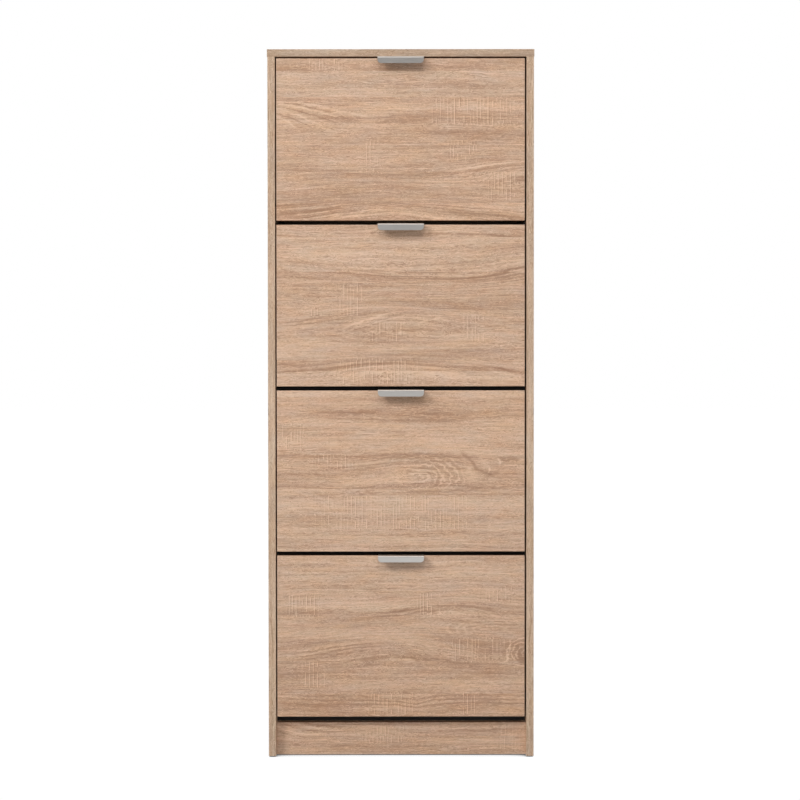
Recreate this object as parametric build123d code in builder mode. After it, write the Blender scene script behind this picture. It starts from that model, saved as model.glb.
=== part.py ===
"""Tall tilt-front shoe cabinet: a shallow oak-faced carcase with four drop-front flaps, one above another.

Each flap is a door board with a lip handle on its top edge. Behind it two moulded side brackets carry a shoe
floor and a shoe back, and turn on the bosses of two pivot plates that are screwed to the side panels. A curved
slot in each bracket runs over a stop peg on its pivot plate, which holds the flap shut and stops it when open.

All sizes are in millimetres. +X is the cabinet's right as seen from the front, +Y is the back and +Z is up.
The origin is on the floor, in the middle of the cabinet's overall width and depth.
"""

from math import cos, radians, sin, tan
import os

from build123d import *

# Boards
board = 16.0  # particle board of the carcase, doors and rails
back_board = 3.0  # hardboard of the cabinet's back
tray_board = 4.0  # hardboard of the shoe floors and shoe backs
board_edge = 0.6  # rounding along the edges of the faced boards

# Carcase
carcase_width = 578.0  # over the two side panels
carcase_depth = 172.0  # side panels, without the back
top_overhang = 1.0  # top panel past each side panel
plinth_height = 70.5
plinth_setback = 18.0
glide_height = 2.0
glide_radius = 7.5
glide_chamfer = 0.5
glide_nail_length = 10.0
glide_inset = 24.0  # glide's centre from the side panel's front or back edge
back_inset = 1.0  # back panels inside the carcase's outline

# Doors and the gaps round them
door_count = 4
door_height = 351.5
gap_below_doors = 16.0  # plinth's top edge to the lowest door
gap_between_doors = 8.5
gap_above_doors = 4.0
gap_beside_doors = 3.0

# Pivots
pivot_back = 22.0  # pivot axis behind the doors' front faces
pivot_up = 44.0  # pivot axis above the doors' bottom edges
open_angle = 50.0
boss_radius = 3.5
boss_length = 9.0
peg_radius = 3.5
peg_distance = 60.0  # stop peg's centre from the pivot axis
peg_angle = 40.0  # stop peg's direction, above the horizontal
plate_thickness = 2.5
plate_width = 22.0
plate_screw_distances = (21.0, 40.0)

# Rails and bottom panel
rail_setback = 52.0  # clear of the doors' bottom edges as they swing
rail_depth = 60.0
rail_drop = 2.0  # rail's top below the door's bottom edge

# Flap brackets, measured from the pivot axis
bracket_wall = 4.0
bracket_rim = 3.0
bracket_rim_depth = 4.0
bracket_foot = 38.0  # bottom edge below the pivot
bracket_top = 262.0  # top edge above the pivot
bracket_shoulder = 152.0  # height where the curved upper edge meets the back edge
bracket_reach = 137.0  # back edge behind the pivot
bracket_head = 22.0  # width of the top edge
bracket_bulge = 24.0  # rise of the curved upper edge over its chord
bracket_corner = 20.0  # radius of the lower back corner
flange_width = 20.0
flange_thickness = 3.5
flange_foot = 18.0  # flange's bottom edge below the pivot
flange_screws = 4
flange_screw_inset = 12.0  # from the bracket's outer face
flange_screw_low = 24.0  # lowest screw above the pivot
flange_screw_high = 16.0  # highest screw below the bracket's top edge
hub_radius = 6.0
hub_length = 8.0
channel_lip = 2.8  # ribs that hold the shoe boards
channel_depth = 10.0

# Shoe boards, measured from the pivot axis
shoe_floor_drop = 28.0  # underside of the shoe floor below the pivot
shoe_back_reach = 126.0  # front face of the shoe back behind the pivot
shoe_back_top = 150.0

# Handle
handle_width = 100.0
handle_height = 15.0
handle_projection = 18.0  # from the door's front face
handle_sheet = 2.0
handle_bend = 3.5  # outer radius of the bend at the front
handle_corner = 5.0  # rounded lower corners of the lip
handle_leg = 14.0  # leg down the door's back face
handle_lean = 10.0  # degrees that the lip leans towards the door at its bottom edge
handle_screw_spacing = 64.0
handle_screw_drop = 8.0

# Cams, bolts and dowels
cam_radius = 7.4
cam_depth = 12.5
cam_reach = 24.0  # cam's centre from the joint line
cam_slot = 1.6
cam_slot_length = 9.0
cam_slot_depth = 3.0
bolt_radius = 3.0
bolt_thread_radius = 2.4
bolt_thread = 10.0
bolt_neck_radius = 1.4
bolt_neck = 2.0
bolt_head = 2.0  # length of the head, which lies at the cam's centre
bolt_bore_radius = 4.0
dowel_radius = 4.0
dowel_short = 10.0  # in the board whose face is drilled
dowel_long = 20.0  # in the board whose end is drilled
dowel_chamfer = 0.8
top_cam_inset = 40.0  # from the side panels' front and back edges
top_dowel_inset = 72.0
rail_cam_inset = 16.0  # from a rail's front edge
rail_dowel_inset = 15.0  # from a rail's back edge
bottom_cam_inset = 20.0  # second cam of the bottom panel, from its back edge
plinth_fitting_inset = 20.0  # cam from the plinth's top edge, dowel from its bottom edge

# Screws and nails
screw_radius = 1.75
screw_length = 13.0
screw_head_radius = 3.4
screw_head_height = 2.2
screw_head_taper = 35.0  # degrees
screw_slot = 0.8
screw_recess = 1.0
nail_radius = 0.75
nail_length = 20.0
nail_head_radius = 2.5
nail_head_height = 0.8
nail_pitch = 110.0

# Wall brackets
wall_bracket_spacing = 300.0
wall_bracket_width = 20.0
wall_bracket_leg = 35.0
wall_bracket_foot = 30.0
wall_bracket_sheet = 2.0
wall_bracket_bend = 3.0
wall_hole_radius = 2.75
wall_hole_drop = 22.0
wall_hole_passage = 5.0  # hole in the back panel, round each wall screw
foot_screw_back = 18.0

# Back joint strip
strip_lip = 1.0
strip_height = 16.0
strip_web = 1.2

# Clearances
fit = 0.1  # round a fastener, or a boss in its hub
peg_play = 0.3  # round the stop peg
board_play = 0.2  # between a board and what holds it
side_play = 0.5  # between a moving bracket and its pivot plate

# Derived places
inner = carcase_width / 2 - board  # inner face of each side panel, from the middle
door_width = 2 * (inner - gap_beside_doors)
overall_depth = carcase_depth + back_board + strip_lip + handle_projection
front = handle_projection - overall_depth / 2  # plane of the front edges
back = front + carcase_depth  # plane of the back edges
plinth_top = glide_height + plinth_height
door_pitch = door_height + gap_between_doors
lowest_door = plinth_top + gap_below_doors
carcase_top = lowest_door + door_count * door_height + (door_count - 1) * gap_between_doors + gap_above_doors
pivot_y = front + pivot_back
bracket_face = inner - plate_thickness - side_play  # outer face of each flap bracket
door_back = board - pivot_back  # door's back face, from the pivot axis
rail_levels = [lowest_door + n * door_pitch - rail_drop - board for n in range(door_count)]
flap_bases = [lowest_door + (door_count - 1 - n) * door_pitch for n in range(door_count)]  # top flap first
middle_seam = rail_levels[door_count // 2] + board / 2

LEFT, RIGHT = -1, 1


# ---------------------------------------------------------------- places of the fasteners


def side_joint(side, y, z, pocket):
    """Joint on a side panel's inner face: local +Z runs into the crossing board, +X out of the cam's pocket."""
    return Plane(origin=(side * inner, y, z), x_dir=pocket, z_dir=(-side, 0, 0))


def top_joint(side, y):
    """Joint on a side panel's top edge: local +Z runs down into the side, local +X out of its inner face."""
    return Plane(origin=(side * (inner + board / 2), y, carcase_top), x_dir=(-side, 0, 0), z_dir=(0, 0, -1))


def cam_face(joint):
    """Plane of a cam's visible face: it looks out of the pocket, with local +X away from the joint."""
    centre = joint.origin + joint.z_dir * cam_reach + joint.x_dir * board / 2
    return Plane(origin=centre, x_dir=joint.z_dir, z_dir=joint.x_dir)


downwards, backwards = (0, 0, -1), (0, 1, 0)
rail_cam_y = front + rail_setback + rail_cam_inset
rail_dowel_y = front + rail_setback + rail_depth - rail_dowel_inset
plinth_y = front + plinth_setback + board / 2
cam_joints = []
dowel_joints = []
for side in (LEFT, RIGHT):
    cam_joints += [top_joint(side, y) for y in (front + top_cam_inset, back - top_cam_inset)]
    dowel_joints += [top_joint(side, y) for y in (front + top_dowel_inset, back - top_dowel_inset)]
    cam_joints += [side_joint(side, rail_cam_y, level + board / 2, downwards) for level in rail_levels]
    dowel_joints += [side_joint(side, rail_dowel_y, level + board / 2, downwards) for level in rail_levels]
    cam_joints += [side_joint(side, back - bottom_cam_inset, rail_levels[0] + board / 2, downwards)]
    cam_joints += [side_joint(side, plinth_y, plinth_top - plinth_fitting_inset, backwards)]
    dowel_joints += [side_joint(side, plinth_y, glide_height + plinth_fitting_inset, backwards)]

plate_direction = Vector(0, cos(radians(peg_angle)), sin(radians(peg_angle)))


def pivot_plane(side, base):
    """Plane of a side panel's inner face, with its origin on a pivot axis: local +X is back, +Y is up."""
    return Plane(origin=(side * inner, pivot_y, base + pivot_up), x_dir=(0, 1, 0), z_dir=(1, 0, 0))


plate_face = inner - plate_thickness
plate_screws = [
    Plane(
        origin=Vector(side * plate_face, pivot_y, base + pivot_up) + plate_direction * distance,
        z_dir=(-side, 0, 0),
    )
    for base in flap_bases
    for side in (LEFT, RIGHT)
    for distance in plate_screw_distances
]
wall_bracket_places = [n * wall_bracket_spacing / 2 for n in (LEFT, RIGHT)]
foot_screws = [
    Plane(origin=(x, back - foot_screw_back, carcase_top - wall_bracket_sheet), z_dir=(0, 0, -1))
    for x in wall_bracket_places
]


def spread(low, high, pitch):
    """Places at a fixed pitch, centred between two limits."""
    count = int((high - low) // pitch)
    start = (low + high - (count - 1) * pitch) / 2
    return [start + n * pitch for n in range(count)]


side_middle = inner + board / 2
nail_heights = spread(glide_height, carcase_top, nail_pitch)
nail_columns = spread(-inner, inner, nail_pitch)
nail_places = [(side * side_middle, z) for side in (LEFT, RIGHT) for z in nail_heights]
nail_places += [(x, edge + board / 2) for edge in (carcase_top, rail_levels[0]) for x in nail_columns]
nails = [Plane(origin=(x, back + back_board, z), z_dir=(0, 1, 0)) for x, z in nail_places]
glide_rows = (front + glide_inset, back - glide_inset)
glide_places = [(side * side_middle, y) for side in (LEFT, RIGHT) for y in glide_rows]


# ---------------------------------------------------------------- joint fittings


def make_cam_bolts():
    """Steel bolts screwed into one board, with a head that each cam pulls on."""
    with BuildPart() as bolts:
        for joint in cam_joints:
            with BuildSketch(joint.offset(-bolt_thread)):
                Circle(bolt_thread_radius)
            extrude(amount=bolt_thread)
            with BuildSketch(joint):
                Circle(bolt_radius)
            extrude(amount=cam_reach - bolt_head / 2 - bolt_neck)
            with BuildSketch(joint.offset(cam_reach - bolt_head / 2 - bolt_neck)):
                Circle(bolt_neck_radius)
            extrude(amount=bolt_neck)
            with BuildSketch(joint.offset(cam_reach - bolt_head / 2)):
                Circle(bolt_thread_radius)
            extrude(amount=bolt_head)
    return bolts.part


def make_cams():
    """Round cams with a cross slot, flush with the board's face, each hollowed for its bolt's head."""
    with BuildPart() as cams:
        for joint in cam_joints:
            with BuildSketch(cam_face(joint)):
                Circle(cam_radius)
            extrude(amount=-cam_depth)
            with BuildSketch(cam_face(joint)):
                Rectangle(cam_slot_length, cam_slot)
                Rectangle(cam_slot, cam_slot_length)
            extrude(amount=-cam_slot_depth, mode=Mode.SUBTRACT)
            with BuildSketch(joint.offset(cam_reach + bolt_head)):
                Circle(bolt_radius + fit)
            extrude(amount=-cam_radius - bolt_head, mode=Mode.SUBTRACT)
    return cams.part


def make_dowels():
    """Beech dowels across the same joints as the cams."""
    with BuildPart() as dowels:
        for joint in dowel_joints:
            with BuildSketch(joint.offset(-dowel_short)):
                Circle(dowel_radius)
            extrude(amount=dowel_short + dowel_long)
        chamfer(dowels.edges().filter_by(GeomType.CIRCLE), dowel_chamfer)
    return dowels.part


def make_joint_cavities():
    """All that is drilled for cams, bolts and dowels, as one tool that each board is cut with."""
    with BuildPart() as cavities:
        for joint in cam_joints:
            with BuildSketch(joint.offset(-bolt_thread - fit)):
                Circle(bolt_thread_radius + fit)
            extrude(amount=bolt_thread + fit)
            with BuildSketch(joint):
                Circle(bolt_bore_radius)
            extrude(amount=cam_reach)
            with BuildSketch(cam_face(joint)):
                Circle(cam_radius + fit)
            extrude(amount=-cam_depth - fit)
        for joint in dowel_joints:
            with BuildSketch(joint.offset(-dowel_short - fit)):
                Circle(dowel_radius + fit)
            extrude(amount=dowel_short + dowel_long + 2 * fit)
    return cavities.part


def make_screws(places):
    """Countersunk screws with a cross recess: each plane lies on the head's face and looks out of it."""
    with BuildPart() as screws:
        for place in places:
            with BuildSketch(place):
                Circle(screw_head_radius)
            extrude(amount=-screw_head_height, taper=screw_head_taper)
            with BuildSketch(place):
                Circle(screw_radius)
            extrude(amount=-screw_length)
            with BuildSketch(place):
                Rectangle(screw_head_radius, screw_slot)
                Rectangle(screw_slot, screw_head_radius)
            extrude(amount=-screw_recess, mode=Mode.SUBTRACT)
    return screws.part


def make_screw_cavities(places):
    """Countersinks and pilot holes that the screws sit in, a named clearance larger than the screws."""
    with BuildPart() as cavities:
        for place in places:
            with BuildSketch(place):
                Circle(screw_head_radius + fit)
            extrude(amount=-screw_head_height, taper=screw_head_taper)
            with BuildSketch(place):
                Circle(screw_radius + fit)
            extrude(amount=-screw_length - fit)
    return cavities.part


def make_nails(play):
    """Flat-headed nails through the back panels, or the holes for them when the play isn't nought."""
    with BuildPart() as shanks:
        for place in nails:
            with BuildSketch(place):
                Circle(nail_head_radius + play)
            extrude(amount=-nail_head_height)
            with BuildSketch(place):
                Circle(nail_radius + play)
            extrude(amount=-nail_length - play)
    return shanks.part


joint_cavities = make_joint_cavities()
plate_screw_cavities = make_screw_cavities(plate_screws)
nail_cavities = make_nails(fit)


# ---------------------------------------------------------------- carcase


def make_side_panel(side):
    """Side panel, drilled for its joints, pivot plates, glide nails and back nails."""
    with BuildPart() as panel:
        with BuildSketch(Plane.XY.offset(glide_height)):
            with Locations((side * (inner + board / 2), (front + back) / 2)):
                Rectangle(board, carcase_depth)
        extrude(amount=carcase_top - glide_height)
        fillet(panel.edges().filter_by(Axis.Z).group_by(Axis.Y)[0], board_edge)
        add(joint_cavities, mode=Mode.SUBTRACT)
        add(plate_screw_cavities, mode=Mode.SUBTRACT)
        with BuildSketch(Plane.XY.offset(glide_height)):
            with Locations(*glide_places):
                Circle(nail_radius + fit)
        extrude(amount=glide_nail_length + fit, mode=Mode.SUBTRACT)
        add(nail_cavities, mode=Mode.SUBTRACT)
    return panel.part


def make_top_panel():
    """Top panel that lies over both side panels and the back."""
    with BuildPart() as panel:
        with BuildSketch(Plane.XY.offset(carcase_top)):
            with Locations((0, (front + back) / 2)):
                Rectangle(carcase_width + 2 * top_overhang, carcase_depth)
        extrude(amount=board)
        fillet(panel.edges().filter_by(Axis.Y), board_edge)
        fillet(panel.edges().filter_by(Axis.X).group_by(Axis.Y)[0], board_edge)
        add(joint_cavities, mode=Mode.SUBTRACT)
        add(make_screw_cavities(foot_screws), mode=Mode.SUBTRACT)
        add(nail_cavities, mode=Mode.SUBTRACT)
    return panel.part


def make_rail(level, depth):
    """Black-faced rail between the side panels. The lowest one is deeper and is the cabinet's bottom."""
    with BuildPart() as rail:
        with BuildSketch(Plane.XY.offset(level)):
            with Locations((0, front + rail_setback + depth / 2)):
                Rectangle(2 * inner, depth)
        extrude(amount=board)
        fillet(rail.edges().filter_by(Axis.X).group_by(Axis.Y)[0], board_edge)
        add(joint_cavities, mode=Mode.SUBTRACT)
        add(nail_cavities, mode=Mode.SUBTRACT)
    return rail.part


def make_plinth():
    """Plinth board, set back from the doors."""
    with BuildPart() as plinth:
        with BuildSketch(Plane.XY.offset(glide_height)):
            with Locations((0, front + plinth_setback + board / 2)):
                Rectangle(2 * inner, board)
        extrude(amount=plinth_height)
        fillet(plinth.edges().filter_by(Axis.X).group_by(Axis.Z)[-1], board_edge)
        add(joint_cavities, mode=Mode.SUBTRACT)
    return plinth.part


def make_back_panel(low, high):
    """Hardboard sheet nailed to the carcase's back edges, with room for the wall screws."""
    with BuildPart() as panel:
        with BuildSketch(Plane(origin=(0, back, 0), x_dir=(-1, 0, 0), z_dir=(0, 1, 0))):
            with Locations((0, (low + high) / 2)):
                Rectangle(carcase_width - 2 * back_inset, high - low)
            with Locations(*[(x, carcase_top - wall_hole_drop) for x in wall_bracket_places]):
                Circle(wall_hole_passage, mode=Mode.SUBTRACT)
        extrude(amount=back_board)
        add(nail_cavities, mode=Mode.SUBTRACT)
    return panel.part


def make_joint_strip():
    """Plastic H-section that joins the two back panels between the side panels."""
    with BuildPart() as strip:
        with BuildSketch(Plane.YZ.offset(-inner + board_play)):
            with Locations((back + back_board / 2, middle_seam)):
                Rectangle(back_board + 2 * board_play, strip_web)
            with Locations((back - board_play - strip_lip / 2, middle_seam)):
                Rectangle(strip_lip, strip_height)
            with Locations((back + back_board + board_play + (strip_lip - board_play) / 2, middle_seam)):
                Rectangle(strip_lip - board_play, strip_height)
        extrude(amount=2 * (inner - board_play))
    return strip.part


def make_glides():
    """Plastic glides nailed under the side panels."""
    with BuildPart() as glides:
        with BuildSketch(Plane.XY):
            with Locations(*glide_places):
                Circle(glide_radius)
        extrude(amount=glide_height)
        chamfer(glides.edges().filter_by(GeomType.CIRCLE).group_by(Axis.Z)[0], glide_chamfer)
        with BuildSketch(Plane.XY.offset(glide_height)):
            with Locations(*glide_places):
                Circle(nail_radius)
        extrude(amount=glide_nail_length)
    return glides.part


def make_wall_brackets():
    """Bent steel angles under the top panel, with a hole for a screw into the wall."""
    with BuildPart() as brackets:
        for x in wall_bracket_places:
            with BuildSketch(Plane.YZ.offset(x - wall_bracket_width / 2)):
                with BuildLine():
                    run = FilletPolyline(
                        (back - wall_bracket_foot, carcase_top - wall_bracket_sheet / 2),
                        (back - wall_bracket_sheet / 2, carcase_top - wall_bracket_sheet / 2),
                        (back - wall_bracket_sheet / 2, carcase_top - wall_bracket_leg),
                        radius=wall_bracket_bend - wall_bracket_sheet / 2,
                    )
                    offset(run, amount=wall_bracket_sheet / 2, side=Side.BOTH)
                make_face()
            extrude(amount=wall_bracket_width)
        with BuildSketch(Plane(origin=(0, back, 0), x_dir=(-1, 0, 0), z_dir=(0, 1, 0))):
            with Locations(*[(x, carcase_top - wall_hole_drop) for x in wall_bracket_places]):
                Circle(wall_hole_radius)
        extrude(amount=-wall_bracket_sheet, mode=Mode.SUBTRACT)
        add(make_screw_cavities(foot_screws), mode=Mode.SUBTRACT)
    return brackets.part


def make_pivot_plates(side):
    """Moulded plates on a side panel, each with a boss for its flap to turn on and a peg that stops it."""
    with BuildPart() as plates:
        for base in flap_bases:
            face = pivot_plane(side, base)
            peg = Vector(peg_distance, 0).rotate(Axis.Z, peg_angle)
            with BuildSketch(face):
                with Locations(Location(peg / 2, (0, 0, peg_angle))):
                    SlotCenterToCenter(peg_distance, plate_width)
            extrude(amount=-side * plate_thickness)
            with BuildSketch(face.offset(-side * plate_thickness)):
                Circle(boss_radius)
            extrude(amount=-side * boss_length)
            with BuildSketch(face.offset(-side * plate_thickness)):
                with Locations(peg):
                    Circle(peg_radius)
            extrude(amount=-side * (side_play + bracket_wall - fit))
        add(plate_screw_cavities, mode=Mode.SUBTRACT)
    return plates.part


# ---------------------------------------------------------------- flaps


def bracket_screw_planes(base):
    """Screw places on the flanges of a flap's two brackets."""
    low = base + pivot_up + flange_screw_low
    step = (bracket_top - flange_screw_high - flange_screw_low) / (flange_screws - 1)
    y = pivot_y + door_back + flange_thickness
    return [
        Plane(origin=(side * (bracket_face - flange_screw_inset), y, low + n * step), z_dir=(0, 1, 0))
        for side in (LEFT, RIGHT)
        for n in range(flange_screws)
    ]


def handle_screw_planes(base):
    """Screw places on the handle's leg, at the back of the door."""
    return [
        Plane(
            origin=(x, front + board + handle_sheet, base + door_height - handle_screw_drop),
            z_dir=(0, 1, 0),
        )
        for x in (-handle_screw_spacing / 2, handle_screw_spacing / 2)
    ]


def make_door(base):
    """Door board with eased edges, drilled at the back for its bracket and handle screws."""
    with BuildPart() as door:
        with BuildSketch(Plane.XZ.offset(-front)):
            with Locations((0, base + door_height / 2)):
                Rectangle(door_width, door_height)
        extrude(amount=-board)
        fillet(door.edges(), board_edge)
        add(make_screw_cavities(bracket_screw_planes(base) + handle_screw_planes(base)), mode=Mode.SUBTRACT)
    return door.part


def make_handle(base):
    """Lip handle bent from sheet: a leg behind the door, a flange over its top edge and a lip in front."""
    top = base + door_height
    half = handle_sheet / 2
    lean = radians(handle_lean)
    corner_shift = (handle_bend - half) * ((1 + sin(lean)) / cos(lean) - 1)
    lip_front = front - handle_projection + half - corner_shift
    lip_drop = handle_height - half
    with BuildPart() as handle:
        with BuildSketch(Plane.YZ.offset(-handle_width / 2)):
            with BuildLine():
                run = FilletPolyline(
                    (front + board + half, top - handle_leg),
                    (front + board + half, top + half),
                    (lip_front, top + half),
                    (lip_front + lip_drop * tan(lean), top + half - lip_drop),
                    radius=[board_edge + half, handle_bend - half],
                )
                offset(run, amount=half, side=Side.BOTH)
            make_face()
        extrude(amount=handle_width)
        low = top + half - lip_drop - half * sin(lean)
        inset = handle_width / 2 - handle_corner
        for end in (LEFT, RIGHT):
            with BuildSketch(Plane.XZ.offset(-front)):
                with Locations((end * (inset + handle_corner / 2), low + (handle_corner - half) / 2)):
                    Rectangle(handle_corner, handle_corner + half)
                with Locations((end * inset, low + handle_corner)):
                    Circle(handle_corner, mode=Mode.SUBTRACT)
            extrude(amount=handle_projection, mode=Mode.SUBTRACT)
        add(make_screw_cavities(handle_screw_planes(base)), mode=Mode.SUBTRACT)
    return handle.part


def make_bracket(base, side):
    """Moulded flap bracket: a rimmed side plate with a hub, a stop slot, a screw flange and board channels."""
    pivot = Plane(origin=(LEFT * bracket_face, pivot_y, base + pivot_up), x_dir=(0, 1, 0), z_dir=(1, 0, 0))
    head = door_back + bracket_head
    floor_top = tray_board - shoe_floor_drop
    with BuildPart() as bracket:
        with BuildSketch(pivot) as plate:
            with BuildLine():
                Polyline(
                    (head, bracket_top),
                    (door_back, bracket_top),
                    (door_back, -bracket_foot),
                    (bracket_reach, -bracket_foot),
                    (bracket_reach, bracket_shoulder),
                )
                SagittaArc((bracket_reach, bracket_shoulder), (head, bracket_top), -bracket_bulge)
            make_face()
            fillet(plate.vertices().group_by(Axis.Y)[0].sort_by(Axis.X)[-1], bracket_corner)
        extrude(amount=bracket_wall)
        with BuildSketch(pivot.offset(bracket_wall)):
            add(plate.sketch_local)
            offset(plate.sketch_local, amount=-bracket_rim, mode=Mode.SUBTRACT)
        extrude(amount=bracket_rim_depth)
        with BuildSketch(pivot):
            Circle(hub_radius)
        extrude(amount=hub_length)
        with BuildSketch(pivot):
            with Locations((door_back + flange_thickness / 2, (bracket_top - flange_foot) / 2)):
                Rectangle(flange_thickness, bracket_top + flange_foot)
        extrude(amount=flange_width)
        with BuildSketch(pivot.offset(bracket_wall)):
            for edge in (floor_top + board_play, -shoe_floor_drop - board_play - channel_lip):
                with Locations(((shoe_back_reach + door_back) / 2, edge + channel_lip / 2)):
                    Rectangle(shoe_back_reach - door_back - 2 * channel_lip, channel_lip)
            for edge in (shoe_back_reach - board_play - channel_lip, shoe_back_reach + tray_board + board_play):
                with Locations((edge + channel_lip / 2, (shoe_back_top + floor_top) / 2)):
                    Rectangle(channel_lip, shoe_back_top - floor_top)
        extrude(amount=channel_depth)
        with BuildSketch(pivot):
            Circle(boss_radius + fit)
        extrude(amount=boss_length, mode=Mode.SUBTRACT)
        half = peg_radius + peg_play
        low, high = peg_angle - open_angle, peg_angle
        with BuildSketch(pivot):
            with BuildLine():
                CenterArc((0, 0), peg_distance + half, low, open_angle)
                CenterArc(Vector(peg_distance, 0).rotate(Axis.Z, high), half, high, 180)
                CenterArc((0, 0), peg_distance - half, low, open_angle)
                CenterArc(Vector(peg_distance, 0).rotate(Axis.Z, low), half, low, -180)
            make_face()
        extrude(amount=bracket_wall, mode=Mode.SUBTRACT)
        add(make_screw_cavities(bracket_screw_planes(base)), mode=Mode.SUBTRACT)
        if side == RIGHT:
            mirror(about=Plane.YZ, mode=Mode.REPLACE)
    return bracket.part


def make_shoe_floor(base):
    """Hardboard floor that the shoes' toes stand on, held between the ribs of the two brackets."""
    low = base + pivot_up - shoe_floor_drop
    floor_front = door_back + bracket_rim + board_play
    floor_back = shoe_back_reach + tray_board
    with BuildPart() as floor:
        with BuildSketch(Plane.XY.offset(low)):
            with Locations((0, pivot_y + (floor_front + floor_back) / 2)):
                Rectangle(2 * (bracket_face - bracket_wall - board_play), floor_back - floor_front)
        extrude(amount=tray_board)
    return floor.part


def make_shoe_back(base):
    """Hardboard back that the shoes lean on."""
    low = base + pivot_up - shoe_floor_drop + tray_board
    high = base + pivot_up + shoe_back_top
    with BuildPart() as panel:
        with BuildSketch(Plane.XZ.offset(-pivot_y - shoe_back_reach)):
            with Locations((0, (low + high) / 2)):
                Rectangle(2 * (bracket_face - bracket_wall - board_play), high - low)
        extrude(amount=-tray_board)
        fillet(panel.edges().filter_by(Axis.X).group_by(Axis.Z)[-1], board_edge)
    return panel.part


# ---------------------------------------------------------------- export


def write(part, label):
    """Writes one named piece to its STEP file."""
    part.label = label
    export_step(part, f"parts/{label}.step")


os.makedirs("parts", exist_ok=True)
write(make_side_panel(LEFT), "left_side_panel")
write(make_side_panel(RIGHT), "right_side_panel")
write(make_top_panel(), "top_panel")
write(make_plinth(), "plinth")
write(make_rail(rail_levels[0], carcase_depth - rail_setback), "bottom_panel")
for number, level in enumerate(rail_levels[:0:-1], start=1):
    write(make_rail(level, rail_depth), f"cross_rail_{number}")
write(make_back_panel(glide_height, middle_seam - strip_web / 2 - board_play), "back_panel_lower")
write(make_back_panel(middle_seam + strip_web / 2 + board_play, carcase_top + board - back_inset), "back_panel_upper")
write(make_joint_strip(), "back_joint_strip")
write(make_nails(0), "back_panel_nails")
write(make_cams(), "cam_locks")
write(make_cam_bolts(), "cam_bolts")
write(make_dowels(), "dowels")
write(make_glides(), "floor_glides")
write(make_wall_brackets(), "wall_brackets")
write(make_screws(foot_screws), "wall_bracket_screws")
write(make_pivot_plates(LEFT), "pivot_plates_left")
write(make_pivot_plates(RIGHT), "pivot_plates_right")
write(make_screws(plate_screws), "pivot_plate_screws")

for number, base in enumerate(flap_bases, start=1):
    write(make_door(base), f"flap_{number}_door")
    write(make_handle(base), f"flap_{number}_handle")
    write(make_screws(handle_screw_planes(base)), f"flap_{number}_handle_screws")
    write(make_bracket(base, LEFT), f"flap_{number}_bracket_left")
    write(make_bracket(base, RIGHT), f"flap_{number}_bracket_right")
    write(make_screws(bracket_screw_planes(base)), f"flap_{number}_bracket_screws")
    write(make_shoe_floor(base), f"flap_{number}_shoe_floor")
    write(make_shoe_back(base), f"flap_{number}_shoe_back")
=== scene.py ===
"""Tall four-flap shoe cabinet in oak foil: finishes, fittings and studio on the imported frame.

Sizes in the classes are in millimetres; meshes are put in the scene in metres. +X is the cabinet's right as
seen from the front, +Y is its back and +Z is up, with the origin on the floor under the cabinet's middle.
"""

import logging
import math
from collections.abc import Callable, Iterable
from dataclasses import dataclass, field
from enum import Enum
from functools import cached_property
from typing import ClassVar, TypeVar

import bmesh
import bpy
from mathutils import Matrix, Quaternion, Vector

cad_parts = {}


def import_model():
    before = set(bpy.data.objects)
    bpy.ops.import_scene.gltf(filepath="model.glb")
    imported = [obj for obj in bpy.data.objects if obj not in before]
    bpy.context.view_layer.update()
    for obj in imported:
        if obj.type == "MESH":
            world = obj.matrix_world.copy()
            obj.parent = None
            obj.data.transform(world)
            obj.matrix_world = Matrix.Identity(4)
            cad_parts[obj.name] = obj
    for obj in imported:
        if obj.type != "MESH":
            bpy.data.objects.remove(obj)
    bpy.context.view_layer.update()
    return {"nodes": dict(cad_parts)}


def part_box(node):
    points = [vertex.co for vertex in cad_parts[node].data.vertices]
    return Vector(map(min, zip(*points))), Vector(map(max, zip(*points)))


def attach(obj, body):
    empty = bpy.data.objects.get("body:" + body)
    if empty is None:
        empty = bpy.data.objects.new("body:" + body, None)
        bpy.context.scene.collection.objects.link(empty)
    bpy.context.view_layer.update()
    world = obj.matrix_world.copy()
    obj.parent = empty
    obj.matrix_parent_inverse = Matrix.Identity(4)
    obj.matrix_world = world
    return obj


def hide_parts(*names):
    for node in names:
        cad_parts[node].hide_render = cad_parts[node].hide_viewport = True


log = logging.getLogger("shoe_cabinet")

Node = bpy.types.Node
Socket = bpy.types.NodeSocket
Triple = tuple[float, float, float]
Feed = float | tuple[float, ...] | Socket
Stops = tuple[tuple[float, Triple], ...]
Item = TypeVar("Item")

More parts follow.
